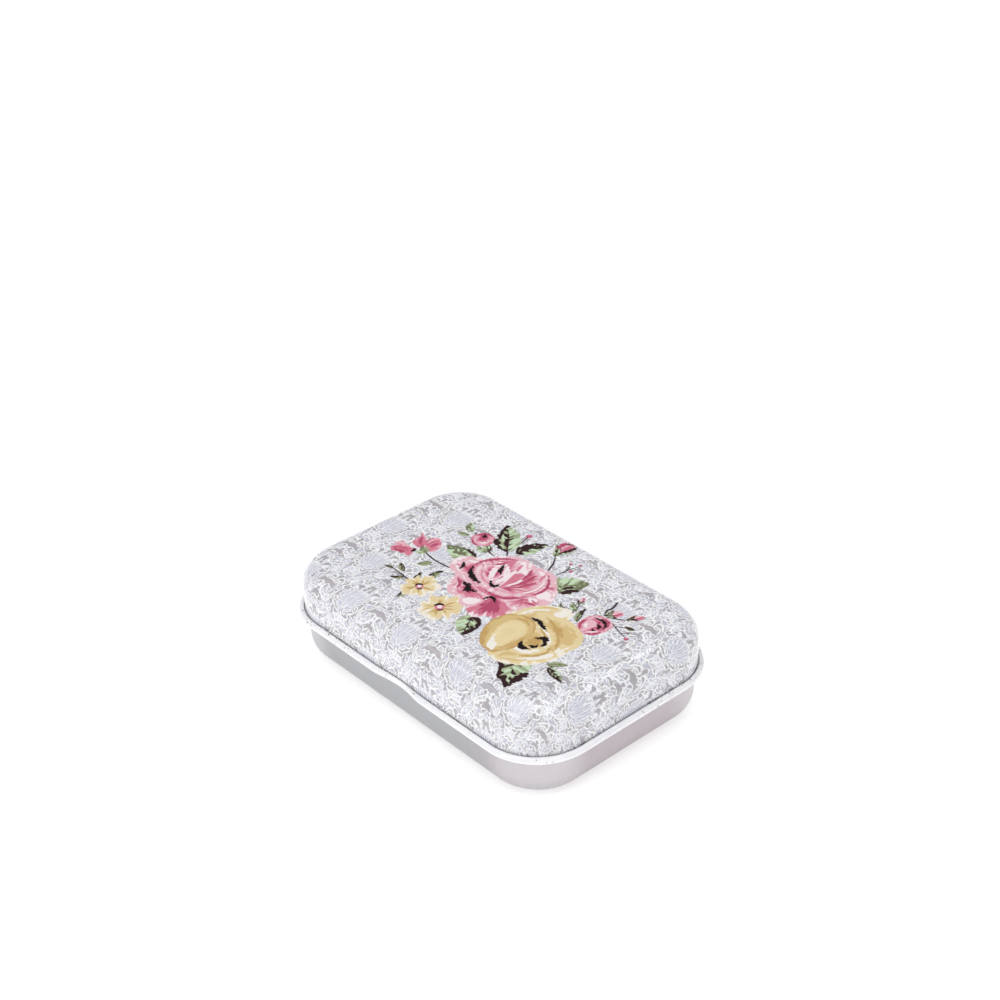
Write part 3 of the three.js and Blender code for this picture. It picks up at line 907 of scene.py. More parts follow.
YELLOW_GLINTS = [
    [(12, -3.4), (12.8, 0.2), (15, 2.6), (16.6, 3), (14.6, 0.6), (13.2, -1.8)],
    [(17.6, 3), (18.4, 5), (20.2, 4.8), (20.4, 3), (18.8, 2.2)],
    [(14.8, -13.6), (16, -14.2), (17.4, -15), (18, -17), (16, -16.6)],
    [(20.6, -12.4), (22, -13.2), (24.6, -12.6), (25.6, -10.6), (25.4, -9.4), (23.6, -11.6)],
    [(28.6, -8), (29.6, -9.4), (27, -13.6), (24.8, -16), (24.8, -14.8), (27, -11.6)],
    [(21, -3.2), (23.6, -4), (25.4, -5.6), (23.4, -5), (21.4, -4)],
]
YELLOW_FOLDS = [
    ([(17, 0.6), (21, -0.4), (25, -2.4), (27.4, -5.4), (28.4, -7.6)], 1.0, OCHRE),
    ([(10.6, -9), (11.6, -12.6), (14, -15.8)], 0.9, OCHRE),
    ([(26.4, -6.4), (27.6, -9), (26.4, -12), (23.4, -14.4)], 0.8, OCHRE),
    ([(20.8, -18), (21.6, -15.6), (23.4, -14)], 1.3, SAND),
    ([(20, -9), (20.9, -12), (20.2, -15.4)], 0.7, OCHRE),
    ([(19.4, -3.4), (22, -4.4), (24.4, -5)], 0.7, OCHRE),
    ([(13, 1.4), (15.4, 3.8), (18.4, 5.4)], 0.5, SAND),
    ([(22.6, 1.6), (26, 1), (28.6, -1)], 0.7, SAND),
    ([(10.4, -6), (10.6, -9.6), (12, -13.4)], 0.6, SAND),
    ([(12.6, -5), (15, -3.9), (17.8, -4.8)], 0.6, OCHRE),
    ([(19.4, -7), (19.8, -11), (18.8, -15.6)], 0.5, OCHRE),
    ([(14, -11), (14.6, -13.6), (16, -15)], 0.6, IVORY),
    ([(13.6, -7.6), (13.6, -10.4), (14.4, -12.6)], 0.5, VANILLA),
    ([(24.6, -2), (27, -4), (28.4, -6.6)], 0.5, SAND),
    ([(29.8, -3), (29.6, -5), (28.6, -7)], 0.5, IVORY),
    ([(22, -17.6), (24.6, -16), (27, -13.4)], 0.6, SAND),
    ([(12.6, -2), (14.6, 1), (17.6, 3.4)], 0.4, SAND),
]
YELLOW_HOLLOWS = [
    ([(14.9, -2.4), (17.2, -1.8), (19.4, -2.5), (21.6, -3.3)], 1.15),
    ([(21.6, -7), (23.4, -5.6), (24.8, -5.7)], 1.5),
    ([(23.4, -6.2), (24.9, -6.8), (24.9, -8.6)], 1.0),
    ([(22.6, -9.8), (24, -9.5), (24, -8.3)], 0.95),
    ([(20.4, -10), (21.4, -11.2), (22.6, -11.4), (24, -10.8)], 1.5),
]

def yellow_rose(canvas):
    petals(canvas, YELLOW_PETALS)
    for points in YELLOW_GLINTS:
        petal(canvas, points, points[0], [(0, IVORY), (0.5, CHALK)], 6, 0.4, 3)
    creases(canvas, 8, YELLOW_FOLDS)
    creases(canvas, 6, YELLOW_HOLLOWS)


SMALL_PETALS = [
    ([(24, 7.2), (25.6, 9.8), (28.4, 10.4), (31, 8.6), (31, 5), (29, 2.4), (26.4, 2), (24.4, 4)], (28,
     6), [(0, WINE), (0.5, ROSE), (0.72, SHELL), (0.95, ROSE)], 71, 0.35, 6),
    ([(24.6, 6.6), (26.4, 7.8), (28, 6.4), (28, 4), (27.4, 2.4), (25.4, 3.4)], (28, 7), [(0, ROSE),
     (0.4, SHELL), (0.9, ROSE)], 72, 0.3, 5),
    ([(28, 9), (30, 8.2), (30.4, 6), (29, 4.6), (28.2, 6)], (28.6, 6), pinks(0.5), 73),
]
SMALL_FOLDS = [
    ([(25.4, 8.4), (27.6, 8.8), (29.4, 8), (30, 6.4)], 0.8, CREASE),
    ([(27.6, 6.8), (28.8, 6.6), (29.2, 5.4)], 0.9, CREASE),
    ([(28, 5), (28.8, 4.6), (29.4, 4.8)], 0.6, CREASE),
    ([(26.6, 9.6), (28.8, 9.4), (30.6, 7.6)], 0.7, WINE),
    ([(24.4, 6.6), (24.8, 4.4), (26.2, 2.6)], 0.8, WINE),
    ([(28.2, 2.4), (29.8, 3.6), (30.6, 5.6)], 0.7, WINE),
    ([(27.6, 3), (29, 4), (29.8, 5.4)], 0.5, BLUSH),
    ([(25.4, 6), (26, 4.8), (26.8, 4.2)], 0.8, BLUSH),
]

def small_rose(canvas):
    petals(canvas, SMALL_PETALS)
    creases(canvas, 8, SMALL_FOLDS)


BLOSSOM_PETALS = [
    [(-26.3, 0.2), (-27.6, 2.5), (-27, 4.1), (-26, 4.6), (-24, 3.5), (-23.4, 1.5), (-24.7, -0.2)],
    [(-26.7, -1.8), (-29.3, -1.3), (-30.1, 0.8), (-29.8, 1.5), (-30.8, 3.3), (-28.3, 2.2), (-26.5, 0.8),
     (-26, -0.8)],
    [(-25.2, -0.2), (-25.4, 1.6), (-24.8, 3.4), (-23.7, 3.6), (-22.4, 1.8), (-22.2, -0.2), (-23.4,
     -1.2)],
    [(-26.4, -2.3), (-28, -3), (-31.3, -2.4), (-32.4, -4.8), (-31.4, -5.2), (-31.9, -6.2), (-29.8, -7),
     (-28, -6.1), (-25.3, -6.1), (-25.2, -4.8), (-25.8, -3.5)],
]
BLOSSOM_FOLDS = [
    ([(-29.2, -4), (-30.4, -3.4), (-31.6, -3.6)], 0.7, SHELL),
    ([(-27, -5.6), (-28.6, -6), (-30.6, -6.2)], 1.2, WINE),
    ([(-27, -0.6), (-28.4, 0.6), (-29.4, 2.2)], 0.9, WINE),
    ([(-24.4, 0.4), (-24.6, 1.8), (-24, 3)], 0.9, WINE),
    ([(-26.4, 1.2), (-26.6, 2.6), (-26, 4)], 0.8, SHELL),
    ([(-26.7, -2.4), (-26.2, -3.3), (-26.5, -4.2)], 1.1, CREASE),
    ([(-26.1, -0.4), (-25.4, -0.9), (-24.4, -1.2)], 0.8, CREASE),
]

def pink_blossom(canvas):
    """The half-open flower on the left, its petals thrown up and back from the stem."""
    stem(canvas, [(-14.2, -2.1), (-18.8, -2.5), (-22, -2.2), (-23.7, -1.8)], 0.5)
    for number, points in enumerate(BLOSSOM_PETALS):
        petal(canvas, points, (-25.8, -1.6), pinks(0.6, 1.02), 81 + number, 0.9, 6)
    creases(canvas, 8, BLOSSOM_FOLDS)
    leaf(canvas, (-23.2, -1.8), (-26.3, -1.2), 2.4, -0.05, SAGE, OLIVE, 85, -0.3)
    leaf(canvas, (-23.4, -2.2), (-25.8, -3.2), 1.2, 0.1, MINT, SAGE, 86, 0.2)


WIDE_LEAF = [(24, -16), (21.7, -18.6), (23.7, -19.8), (26.2, -22.8), (28.1, -23.1), (30.6, -24.4),
    (30.6, -22), (30.9, -19.2), (30.3, -17.2), (28.8, -14.7), (26.5, -15)]
LEAVES = [  # base, tip, width, bend, light, dark, seed, share, teeth
    ((5, -11), (9.4, -18.2), 6.0, -0.02, MINT, BROWN, 101, -0.5, 0),
    ((31, -12), (34.6, -8.8), 1.9, 0.05, SAGE, OLIVE, 103, 0.3, 0),
    ((31.8, -12.6), (38.2, -14.2), 2.3, 0.05, MINT, BROWN, 137, 0.6, 0),
    ((23.8, 4.2), (21.4, 9.6), 1.7, 0.1, SAGE, BROWN, 104, 0.5, 0),
    ((19.8, 4.6), (15.6, 6.8), 1.9, 0.1, MINT, BROWN, 105, 0.3, 0),
    ((20.6, 7.2), (17.4, 9), 1.8, 0.1, MINT, OLIVE, 106, 0.3, 0),
    ((9.0, 9.2), (14.6, 17.2), 7.2, 0.02, MINT, OLIVE, 107, 0.3, 6),
    ((-9.6, 12.4), (-18.8, 20.8), 6.4, -0.04, MINT, BROWN, 108, -0.22, 6),
    ((-7.4, 13.6), (-4.8, 22), 4.6, 0.04, MINT, BROWN, 109, -0.55, 4),
    ((-21.8, 11), (-25.2, 9.9), 1.5, 0.05, SAGE, OLIVE, 110, 0.3, 0),
    ((-22.4, 12.4), (-26, 15), 2.4, 0.06, MINT, OLIVE, 132, -0.4, 0),
    ((-12.2, 4.4), (-22.4, 4.2), 5.6, 0.03, MINT, OLIVE, 111, 0.3, 6),
    ((-18.9, -3.6), (-21.1, -6.7), 2.0, 0.06, SAGE, OLIVE, 112, 0.3, 0),
    ((-20.6, -11), (-24.2, -9), 1.6, 0.06, SAGE, BROWN, 113, 0.5, 0),
    ((-23.6, -12), (-26.4, -12.8), 1.0, -0.04, OLIVE, BROWN, 114, 0.7, 0),
    ((-18.7, -12.5), (-21.4, -14.7), 1.4, 0.1, SAGE, BROWN, 115, 0.6, 0),
    ((-16.4, -12), (-17.8, -8.1), 1.5, -0.14, SAGE, BROWN, 116, -0.8, 0),
    ((-13.2, -9.2), (-14, -3.8), 2.1, 0.14, SAGE, BROWN, 117, -0.7, 0),
    ((-14, -14.6), (-13.7, -19.2), 2.0, 0.1, SAGE, BROWN, 118, 0.8, 0),
    ((35.4, 11.4), (32.6, 11), 1.2, 0.1, OLIVE, BROWN, 119, 0.5, 0),
]
# the darkest brush marks, where one leaf lies under another
LEAF_SHADOWS = [
    ([(12.6, 9.4), (13.4, 11.4), (15.2, 13.6)], 1.5),
    ([(11.6, 10.6), (12.4, 12.6), (13.6, 14)], 0.9),
    ([(-11, 13.6), (-12.8, 15), (-14, 16.8)], 1.3),
    ([(-12, 12.8), (-14.4, 13.2), (-15.8, 14.2)], 1.0),
    ([(-12.6, 5.6), (-15.4, 6.2), (-18, 6)], 0.9),
    ([(-6.8, 14.6), (-7.6, 17), (-5.8, 20.4)], 1.2),
]

def leaves(canvas):
    outline = curve(WIDE_LEAF, 3, closed=True)
    paint_leaf(canvas, outline, (25, -16.4), (30.4, -24), 0.02, 8.5, MINT, BROWN, 202, 0.42)
    crease(canvas, [(30.4, -16.6), (30.2, -19.6), (30.6, -23.4)], 2.0, BROWN, 4)
    for row in LEAVES:
        leaf(canvas, *row)
    for points, width in LEAF_SHADOWS:
        crease(canvas, points, width, BROWN, 3)


def round_bud(canvas, centre, radius):
    """A bud seen into its mouth: a pale cup, a deep rim and a dark eye."""
    ring = circle(10)
    tones = [(0, WINE), (0.4, ROSE), (0.6, SHELL), (0.88, ROSE)]
    petal(canvas, centre + ring * radius, np.add(centre, (-0.8, 1.2)), tones, 161, 0.5, 6)
    creases(canvas, 8, (
        (centre + ring[2:6] * radius * 0.86, 1.0, WINE),
        (centre + ring[6:9] * radius * 0.9, 0.7, WINE),
        (centre + ring[[0, 9, 8]] * radius * 0.5, 0.7, BLUSH),
        (np.add(centre, [(-1.6, 1.2), (-1, 0.4), (0, 0.6), (0.4, 1.4)]), 0.6, WINE),
        (np.add(centre, [(-1.2, 2), (-0.8, 1.4), (-0.2, 1.5)]), 1.1),
    ))


STEMS = [
    ([(-12.4, 15.6), (-10, 13.2), (-8, 11)], 0.5),
    ([(3.6, 14), (2.2, 17), (0.4, 19.4)], 0.5),
    ([(-10.8, 20.6), (-10, 17), (-9, 14)], 0.35),
    ([(6.4, 14.2), (6.7, 17.4), (7.6, 20.8)], 0.35),
    ([(6.6, 17), (6.2, 18.4), (5.4, 19.6)], 0.25),
    ([(6.5, 15.8), (7.6, 17.4)], 0.25),
    ([(-14.6, 10.4), (-12.6, 9.4), (-10.4, 9)], 0.45),
    ([(-21.6, 12.8), (-20.2, 11.8)], 0.45),
    ([(20.6, 4.4), (20, 7.4), (19, 10)], 0.35),
    ([(24.8, 16.4), (25.6, 14), (25.4, 12.4), (26.4, 10.6)], 0.6),
    ([(27.4, 10.6), (30, 12), (32, 13.6)], 0.4),
    ([(29.8, 9.6), (33, 8.6), (36, 7.8)], 0.35),
    ([(31.4, 9.4), (33.4, 10.6), (34.6, 10.9)], 0.3),
    ([(34, 8.4), (35, 9.4), (35.6, 10)], 0.3),
    ([(-16, -12.5), (-20.1, -12.2), (-24, -11.9)], 0.4),
    ([(30.6, -11.4), (33, -12), (34.6, -12.6)], 0.35),
]
BERRIES = [
    ((-11, 21.2), 0.8),
    ((5.3, 19.9), 0.45),
    ((7.6, 17.7), 0.5),
    ((7.4, 21.2), 0.45),
    ((36.4, 7.6), 0.6),
]


def stems_and_buds(canvas):
    for points, width in STEMS:
        stem(canvas, points, width)
    for place, radius in BERRIES:
        berry(canvas, place, radius)
    bud(canvas, (-0.3, 20.4), (-1.2, 27.2), 4.4, 131)
    creases(canvas, 1, (
        ([(-1.8, 21.8), (-2.2, 24), (-1.4, 26.4)], 1.2, WINE),
        ([(-0.2, 21.6), (-0.6, 24), (-0.2, 26)], 1.1, ROSE),
        ([(0.2, 22.4), (1, 24.6), (0.4, 27)], 1.0, BROWN),
        ([(-2, 25.2), (-1.2, 26.4), (-0.4, 26.6)], 0.8, BROWN),
    ))
    leaf(canvas, (-12.6, 9.4), (-15.8, 12), 2.2, 0.1, MINT, BROWN, 133, 0.4)
    leaf(canvas, (-12.8, 9), (-17, 9.2), 1.8, 0.1, MINT, OLIVE, 134, 0.3)
    round_bud(canvas, (-17.9, 12), 3.0)
    bud(canvas, (18.8, 9.6), (18, 12.2), 1.7, 134)
    bud(canvas, (26.6, 11), (28.8, 14.4), 2.9, 135)
    bud(canvas, (31.4, 13.6), (33.2, 16.8), 1.9, 136, OLIVE)


def draw_bouquet():
    canvas = Canvas((-36, -26), (40, 29))
    stems_and_buds(canvas)
    leaves(canvas)
    pink_blossom(canvas)
    big_rose(canvas)
    open_flower(canvas, (-13, -12.5), 4.8, 141, 0.5)
    open_flower(canvas, (-3, -14.6), 5.8, 151, 0.1)
    small_rose(canvas)
    yellow_rose(canvas)
    return canvas


# ---------------------------------------------------------------- the lace

class Lace:
    """One repeat of the damask: how much of the pale fill, and of the white line, at each point.

    Everything is drawn twice, the second time mirrored about the upright middle line."""

    def __init__(self):
        half = LACE_PITCH[0] * 0.62
        self.canvas = Canvas((-half, -8), (half, 22), LACE_SCALE)
        self.fill = np.zeros(self.canvas.cover.shape)
        self.line = np.zeros(self.canvas.cover.shape)

    def mirrored(self, points, margin):
        for hand in (-1, 1):
            line = np.asarray(points) * (hand, 1)
            yield line, *self.canvas.window(line, margin)

    def thread(self, points, width, taper=0.5):
        line = curve(points, 5)
        along = np.linspace(0, 1, len(line))
        widths = SCROLL_GAIN * width / 2 * (1 - taper * along)
        for side, part, x, y in self.mirrored(line, 0.6):
            reach = stroke_distance(side, widths, x, y)
            # a scroll stands clear of the leaves it crosses
            clear = 1 - edge(reach + SCROLL_GAP)
            self.fill[part] *= clear
            self.line[part] = np.maximum(self.line[part] * clear, edge(reach))

    def leaf(self, base, angle, length, width, bend=0.0, rib=False, teeth=0):
        """A small pale leaf with a white outline; angle in degrees from straight up, clockwise."""
        a = math.radians(angle)
        tip = np.array(base) + length * np.array([math.sin(a), math.cos(a)])
        line = spine(base, tip, bend, 8 * teeth + 1 if teeth else 9)
        t = np.linspace(0, 1, len(line))
        half = width / 2 * np.sin(np.pi * t**0.8) ** 0.8
        if teeth:
            half = half * (0.72 + 0.42 * np.abs(np.sin(t * teeth * math.pi)))
        count = len(line)
        for side, part, x, y in self.mirrored(np.concatenate([outline_round(line, half), line]), 0.3):
            inside = inside_distance(side[:-count], x, y)
            self.line[part] *= 1 - edge(inside - 0.05)
            self.fill[part] = np.maximum(self.fill[part], edge(inside))
            ring = edge(LACE_THREAD / 2 - np.abs(inside - 0.05), 0.04)
            if rib:
                middle = stroke_distance(side[-count:], np.full(count, 0.09), x, y)
                ring = np.maximum(ring, 0.8 * edge(middle, 0.05) * edge(inside))
            self.line[part] = np.maximum(self.line[part], ring)

    def dots(self, centre, radius, count):
        for place in np.array(centre) + radius * circle(count):
            for spot, part, x, y in self.mirrored([place], 0.3):
                amount = edge(0.13 - np.hypot(x - spot[0][0], y - spot[0][1]))
                self.line[part] = np.maximum(self.line[part], amount)

    def frond(self, points, length, count):
        """Leaves set both ways along a bowed rib, shorter at its ends."""
        rib = curve(points, 12)
        step = np.gradient(rib, axis=0)
        last = len(rib) - 1
        heading = np.degrees(np.arctan2(step[:, 0], step[:, 1]))
        for t in np.linspace(0.15, 1, count):
            k = int(t * last)
            size = length * (0.6 + 0.4 * math.sin(math.pi * min(t * 1.05, 1)))
            for side in (-1, 1):
                self.leaf(rib[k], heading[k] + side * 50, size, size * 0.5, 0.12 * side, teeth=3)
        self.leaf(rib[last], heading[last], length * 0.8, length * 0.4)
        self.thread(points, 0.24, 0.3)

    def tile(self):
        """The two masks folded into one repeat, with the half-drop copy between."""
        width, height = (round(p * LACE_SCALE / 2) * 2 for p in LACE_PITCH)
        rows, columns = np.indices(self.fill.shape)
        low = np.round(self.canvas.low * LACE_SCALE).astype(int)
        result = []
        for mask in (self.fill, self.line):
            tile = np.zeros((height, width))
            for shift_x, shift_y in ((0, 0), (width // 2, height // 2)):
                at_x = (columns + low[0] + shift_x) % width
                at_y = (rows + low[1] + shift_y) % height
                np.maximum.at(tile, (at_y, at_x), mask)
            result.append(tile)
        return result


# acanthus bands that climb either side and meet above: rib, length of their leaves, how many
BANDS = [
    ([(0.8, -5.6), (3.4, -4.4), (5.6, -1.4), (6.2, 1.8), (5.9, 4.2)], 3.1, 6),
    ([(6.3, 4.8), (7.4, 7), (7.3, 9.6), (5.8, 12.2), (4, 14.2)], 2.9, 5),
    ([(4, 14), (2.4, 15.8), (0.7, 16.8)], 2.0, 3),
]
TENDRILS = [  # in the open ground
    [(0, -7.6), (0.9, -6.8), (1.9, -7), (2, -7.9), (1.3, -8)],
    [(2.6, 12.8), (3.4, 13), (3.7, 12.3), (3.1, 11.9)],
    [(5.5, 8.8), (6.1, 9.8), (5.6, 10.8), (4.9, 10.4), (5.3, 9.8)],
    [(3.3, -2.4), (4.2, -1.6), (4, -0.5), (3.1, -0.7), (3.5, -1.3)],
    [(8.9, 0.4), (8.2, -0.3), (8.6, -1)],
    [(9.4, 9.2), (8.7, 8.7), (9, 8.1)],
    [(1.4, 9.4), (2.1, 9.9), (1.9, 10.6)],
    [(0.2, 14.2), (1, 13.7), (1.7, 14.2), (1.2, 14.8)],
]
SCROLLS = [  # hooks that spring from the bands
    [(6.4, 6.2), (7.8, 7.9), (9, 7.4), (8.9, 6.1), (8, 6.1), (8.1, 6.9)],
    [(6.6, 1), (8.2, 1.8), (9, 3.3), (8.5, 4.4), (7.7, 4), (8, 3.3)],
    [(5.2, -2.6), (6.8, -3.6), (8.3, -3), (8.3, -1.7), (7.4, -1.6), (7.5, -2.3)],
    [(7, 10.2), (8.6, 11), (9, 12.4), (8.1, 12.9), (7.5, 12.2)],
    [(3.4, -4.4), (4.2, -6), (5.8, -6.4), (6.5, -5.4), (5.8, -4.8)],
    [(5.2, 3.6), (4.9, 1.8), (5.3, 0.4)],
]
PALMETTE = ((52, 4.2, 1.3), (41, 5.8, 1.5), (30, 7.1, 1.6), (19.5, 8.1, 1.6), (9.5, 8.8, 1.5))
SPRIGS = (((3.5, 7.2), -28), ((4.9, 8.6), 35), ((2.2, 9.8), -70), ((8.4, 10.6), 10), ((8.6, -5.4), 160))


def draw_lace():
    lace = Lace()
    for rib, length, count in BANDS:
        lace.frond(rib, length, count)
    for points in TENDRILS:
        lace.thread(points, 0.24)
    # the palmette: a fan of long narrow leaves standing in a calyx
    for angle, length, width in PALMETTE:
        lace.leaf((0.12, 0.9), angle, length, width, -0.05, rib=True, teeth=4)
    lace.leaf((0, 0.7), 0, 9.4, 1.3, rib=True, teeth=4)
    for angle, length in ((68, 2.8), (54, 3.5)):
        lace.leaf((0.2, 0.6), angle, length, 0.95, 0.16)
    lace.leaf((0, 0.2), 26, 1.8, 0.8)
    volute = [(0.1, 0.3), (1.9, 0.5), (3.5, 1.5), (4.5, 3), (4.6, 4.8), (3.9, 5.8), (3.2, 5.3), (3.6, 4.6)]
    lace.thread(volute, 0.36)
    lace.thread([(2.9, 2.2), (3.8, 2.2), (4, 3.1), (3.2, 3.4), (2.8, 2.8)], 0.24, 0)
    lace.dots((3.35, 2.75), 0.05, 1)
    lace.dots((1.9, 1.6), 0.1, 1)
    lace.thread([(4.5, 5.4), (5.7, 6.4), (5.4, 7.5), (4.5, 7.2), (4.9, 6.5)], 0.32)
    lace.thread([(2.4, 6.8), (3.5, 7.6), (3.3, 8.6), (2.5, 8.4)], 0.3)
    for place, heading in SPRIGS:
        for lean in (-42, 42, 0):
            lace.leaf(place, heading + lean, 1.5, 0.6)
    # the pointed arch over the palmette, and the ornament on top of it
    lace.frond([(4.9, 7.8), (4.2, 9.2), (2.8, 10.6), (1, 11.6)], 1.9, 3)
    lace.thread([(0, 11.2), (0.6, 12.2), (1.6, 12.4), (1.8, 11.5), (1.2, 11.3)], 0.3)
    lace.leaf((0, 11.4), 0, 2.4, 1.1)
    lace.leaf((0, 11.6), 44, 1.8, 0.8, 0.1)
    # the calyx, and the fleur that hangs under it
    lace.thread([(0, 0.5), (0.8, -0.5), (2, -0.7), (2.5, 0), (2, 0.5)], 0.34)
    lace.leaf((0, -0.2), 180, 3.2, 1.1)
    lace.leaf((0, -0.6), 140, 2.4, 0.9, -0.14)
    lace.leaf((0.1, -0.8), 106, 2.2, 0.8, -0.14)
    lace.thread([(0, -3.2), (1, -3.7), (1.9, -3.1), (1.6, -2.3), (1, -2.6)], 0.3)
    lace.dots((0, -4.4), 0.3, 4)
    for points in SCROLLS:
        lace.thread(points, 0.34)
    return lace.tile()


# ---------------------------------------------------------------- the print on the lid

def sample(grid, x, y, wrap=False):
    """Values of a grid between its points, from fractional column x and row y."""
    height, width = grid.shape[:2]
    column, row = np.floor(x).astype(int), np.floor(y).astype(int)
    share = (x - column, y - row)
    if grid.ndim == 3:
        share = (share[0][..., None], share[1][..., None])
    columns, rows = np.stack([column, column + 1]), np.stack([row, row + 1])
    if wrap:
        return between(grid, share, columns % width, rows % height)
    return between(grid, share, np.clip(columns, 0, width - 1), np.clip(rows, 0, height - 1))


def print_at(u, v, bouquet, lace):
    """The print's parts at places on the flat sheet: lace fill, lace line, bouquet ink and its cover."""
    fill, line = lace
    scale = np.array([fill.shape[1], fill.shape[0]]) / LACE_PITCH
    waver_x = LACE_WAVER * (noise(u * 1.1 + 9, v * 1.1 + 5, 21) - 0.5)
    waver_y = LACE_WAVER * (noise(u * 1.1 + 30, v * 1.1 + 40, 22) - 0.5)
    x, y = (u + waver_x - LACE_ORIGIN[0]) * scale[0], (v + waver_y - LACE_ORIGIN[1]) * scale[1]
    pale, white = sample(fill, x, y, wrap=True), sample(line, x, y, wrap=True)
    x, y = (u - bouquet.low[0]) * bouquet.scale, (v - bouquet.low[1]) * bouquet.scale
    within = (x > 0) & (y > 0) & (x < bouquet.cover.shape[1] - 1) & (y < bouquet.cover.shape[0] - 1)
    cover = sample(bouquet.cover, x, y)
    ink = sample(bouquet.colour, x, y) / np.maximum(cover, 1e-3)[..., None]
    return pale, white, ink, np.where(within, cover, 0)


def print_lid(skin, u, v):
    """Gives the lid's skin its print, as colours at its points."""
    pale, white, ink, cover = print_at(u, v, draw_bouquet(), draw_lace())
    count = len(skin.data.vertices)
    lace = np.zeros((count, 4), dtype=np.float32)
    lace[: len(u), 0], lace[: len(u), 1], lace[:, 3] = pale, white, 1
    flowers = np.zeros((count, 4), dtype=np.float32)
    flowers[: len(u), :3], flowers[: len(u), 3] = linear(ink) * INK_WHITE, cover
    for name, values in (("lace", lace), ("ink", flowers)):
        layer = skin.data.color_attributes.new(name, "FLOAT_COLOR", "POINT")
        layer.data.foreach_set("color", values.ravel())


# ---------------------------------------------------------------- materials

def linear(ink):
    """An sRGB colour of 0-255 as the linear light that a shader takes."""
    value = np.asarray(ink, dtype=float) / 255
    return np.where(value <= 0.04045, value / 12.92, ((value + 0.055) / 1.055) ** 2.4)


def colour(ink, share=1.0):
    return (*(linear(ink) * share), 1.0)


class Surface:
    """A material with short ways to add nodes to it."""

    def __init__(self, name, **settings):
        self.material = bpy.data.materials.new(name)
        self.material.use_nodes = True
        self.tree = self.material.node_tree
        self.shader = self.tree.nodes["Principled BSDF"]
        for key, value in settings.items():
            self.shader.inputs[key.replace("_", " ")].default_value = value

    def node(self, kind, options=None, **inputs):
        made = self.tree.nodes.new("ShaderNode" + kind)
        for key, value in (options or {}).items():
            setattr(made, key, value)
        for key, value in inputs.items():
            place = int(key[1:]) if key[0] == "i" and key[1:].isdigit() else key.replace("_", " ")
            self.join(value, made.inputs[place])
        return made

    def join(self, value, place):
        if isinstance(value, bpy.types.NodeSocket):
            self.tree.links.new(value, place)
        else:
            place.default_value = value

    def math(self, operation, a, b=0.0, clamp=False):
        return self.node("Math", {"operation": operation, "use_clamp": clamp}, i0=a, i1=b).outputs[0]

    def times(self, a, b):
        return self.math("MULTIPLY", a, b)

    def mix(self, factor, a, b, blend="MIX"):
        mixed = self.node("Mix", {"data_type": "RGBA", "blend_type": blend})
        self.join(factor, mixed.inputs["Factor"])
        self.join(a, mixed.inputs[6])
        self.join(b, mixed.inputs[7])
        return mixed.outputs[2]

    def place(self, stretch=(1, 1, 1)):
        """Where a point is on the piece, in mm times the stretch."""
        at = self.node("TexCoord").outputs["Object"]
        scale = tuple(s / MM for s in stretch)
        return self.node("Mapping", Vector=at, Scale=scale).outputs["Vector"]

    def noise(self, scale, detail=3.0, roughness=0.5, stretch=(1, 1, 1)):
        return self.node("TexNoise", Vector=self.place(stretch), Scale=scale, Detail=detail,
                         Roughness=roughness).outputs["Fac"]

    def ramp(self, value, low, high, start=0.0, end=1.0):
        return self.node("MapRange", {"interpolation_type": "SMOOTHSTEP"}, Value=value,
                         From_Min=low, From_Max=high, To_Min=start, To_Max=end).outputs[0]

    def attribute(self, name):
        return self.node("Attribute", {"attribute_name": name})

    def bump(self, height, strength, distance):
        made = self.node("Bump", Height=height, Strength=strength, Distance=distance)
        self.join(made.outputs["Normal"], self.shader.inputs["Normal"])

    def set(self, name, value):
        self.join(value, self.shader.inputs[name])


def print_material():
    """Lilac ground, two whites of lace and the bouquet's inks, under a clear lacquer."""
    surface = Surface("printed_lacquer", Specular_IOR_Level=0.05, Coat_Weight=0.9, Coat_Roughness=0.08)
    parts = surface.node("SeparateColor", Color=surface.attribute("lace").outputs["Color"])
    grain = surface.noise(9.0, 2.0, 0.6)
    cloud = surface.ramp(surface.noise(0.16, 3.0), 0.35, 0.65)
    ground = surface.mix(cloud, colour(GROUND_COOL, PRINT_WHITE), colour(GROUND_WARM, PRINT_WHITE))
    tone = surface.mix(parts.outputs[0], ground, colour(LACE, PRINT_WHITE))
    tone = surface.mix(parts.outputs[1], tone, colour(LACE_LINE, LINE_WHITE))
    ink = surface.attribute("ink")
    tone = surface.mix(ink.outputs["Alpha"], tone, ink.outputs["Color"])
    # a dot screen's slight unevenness, darker and lighter by a few parts in a hundred
    speckle = surface.ramp(grain, 0.3, 0.7, 0.93, 1.05)
    speckle = surface.node("CombineColor", Red=speckle, Green=speckle, Blue=speckle).outputs[0]
    tone = surface.mix(1.0, tone, speckle, "MULTIPLY")
    surface.set("Base Color", tone)
    scuffs = surface.noise(0.35, 4.0, 0.6)
    surface.set("Roughness", surface.ramp(scuffs, 0.3, 0.75, 0.3, 0.44))
    surface.bump(surface.noise(1.6, 2.0), 0.12, 0.00004)
    return surface.material


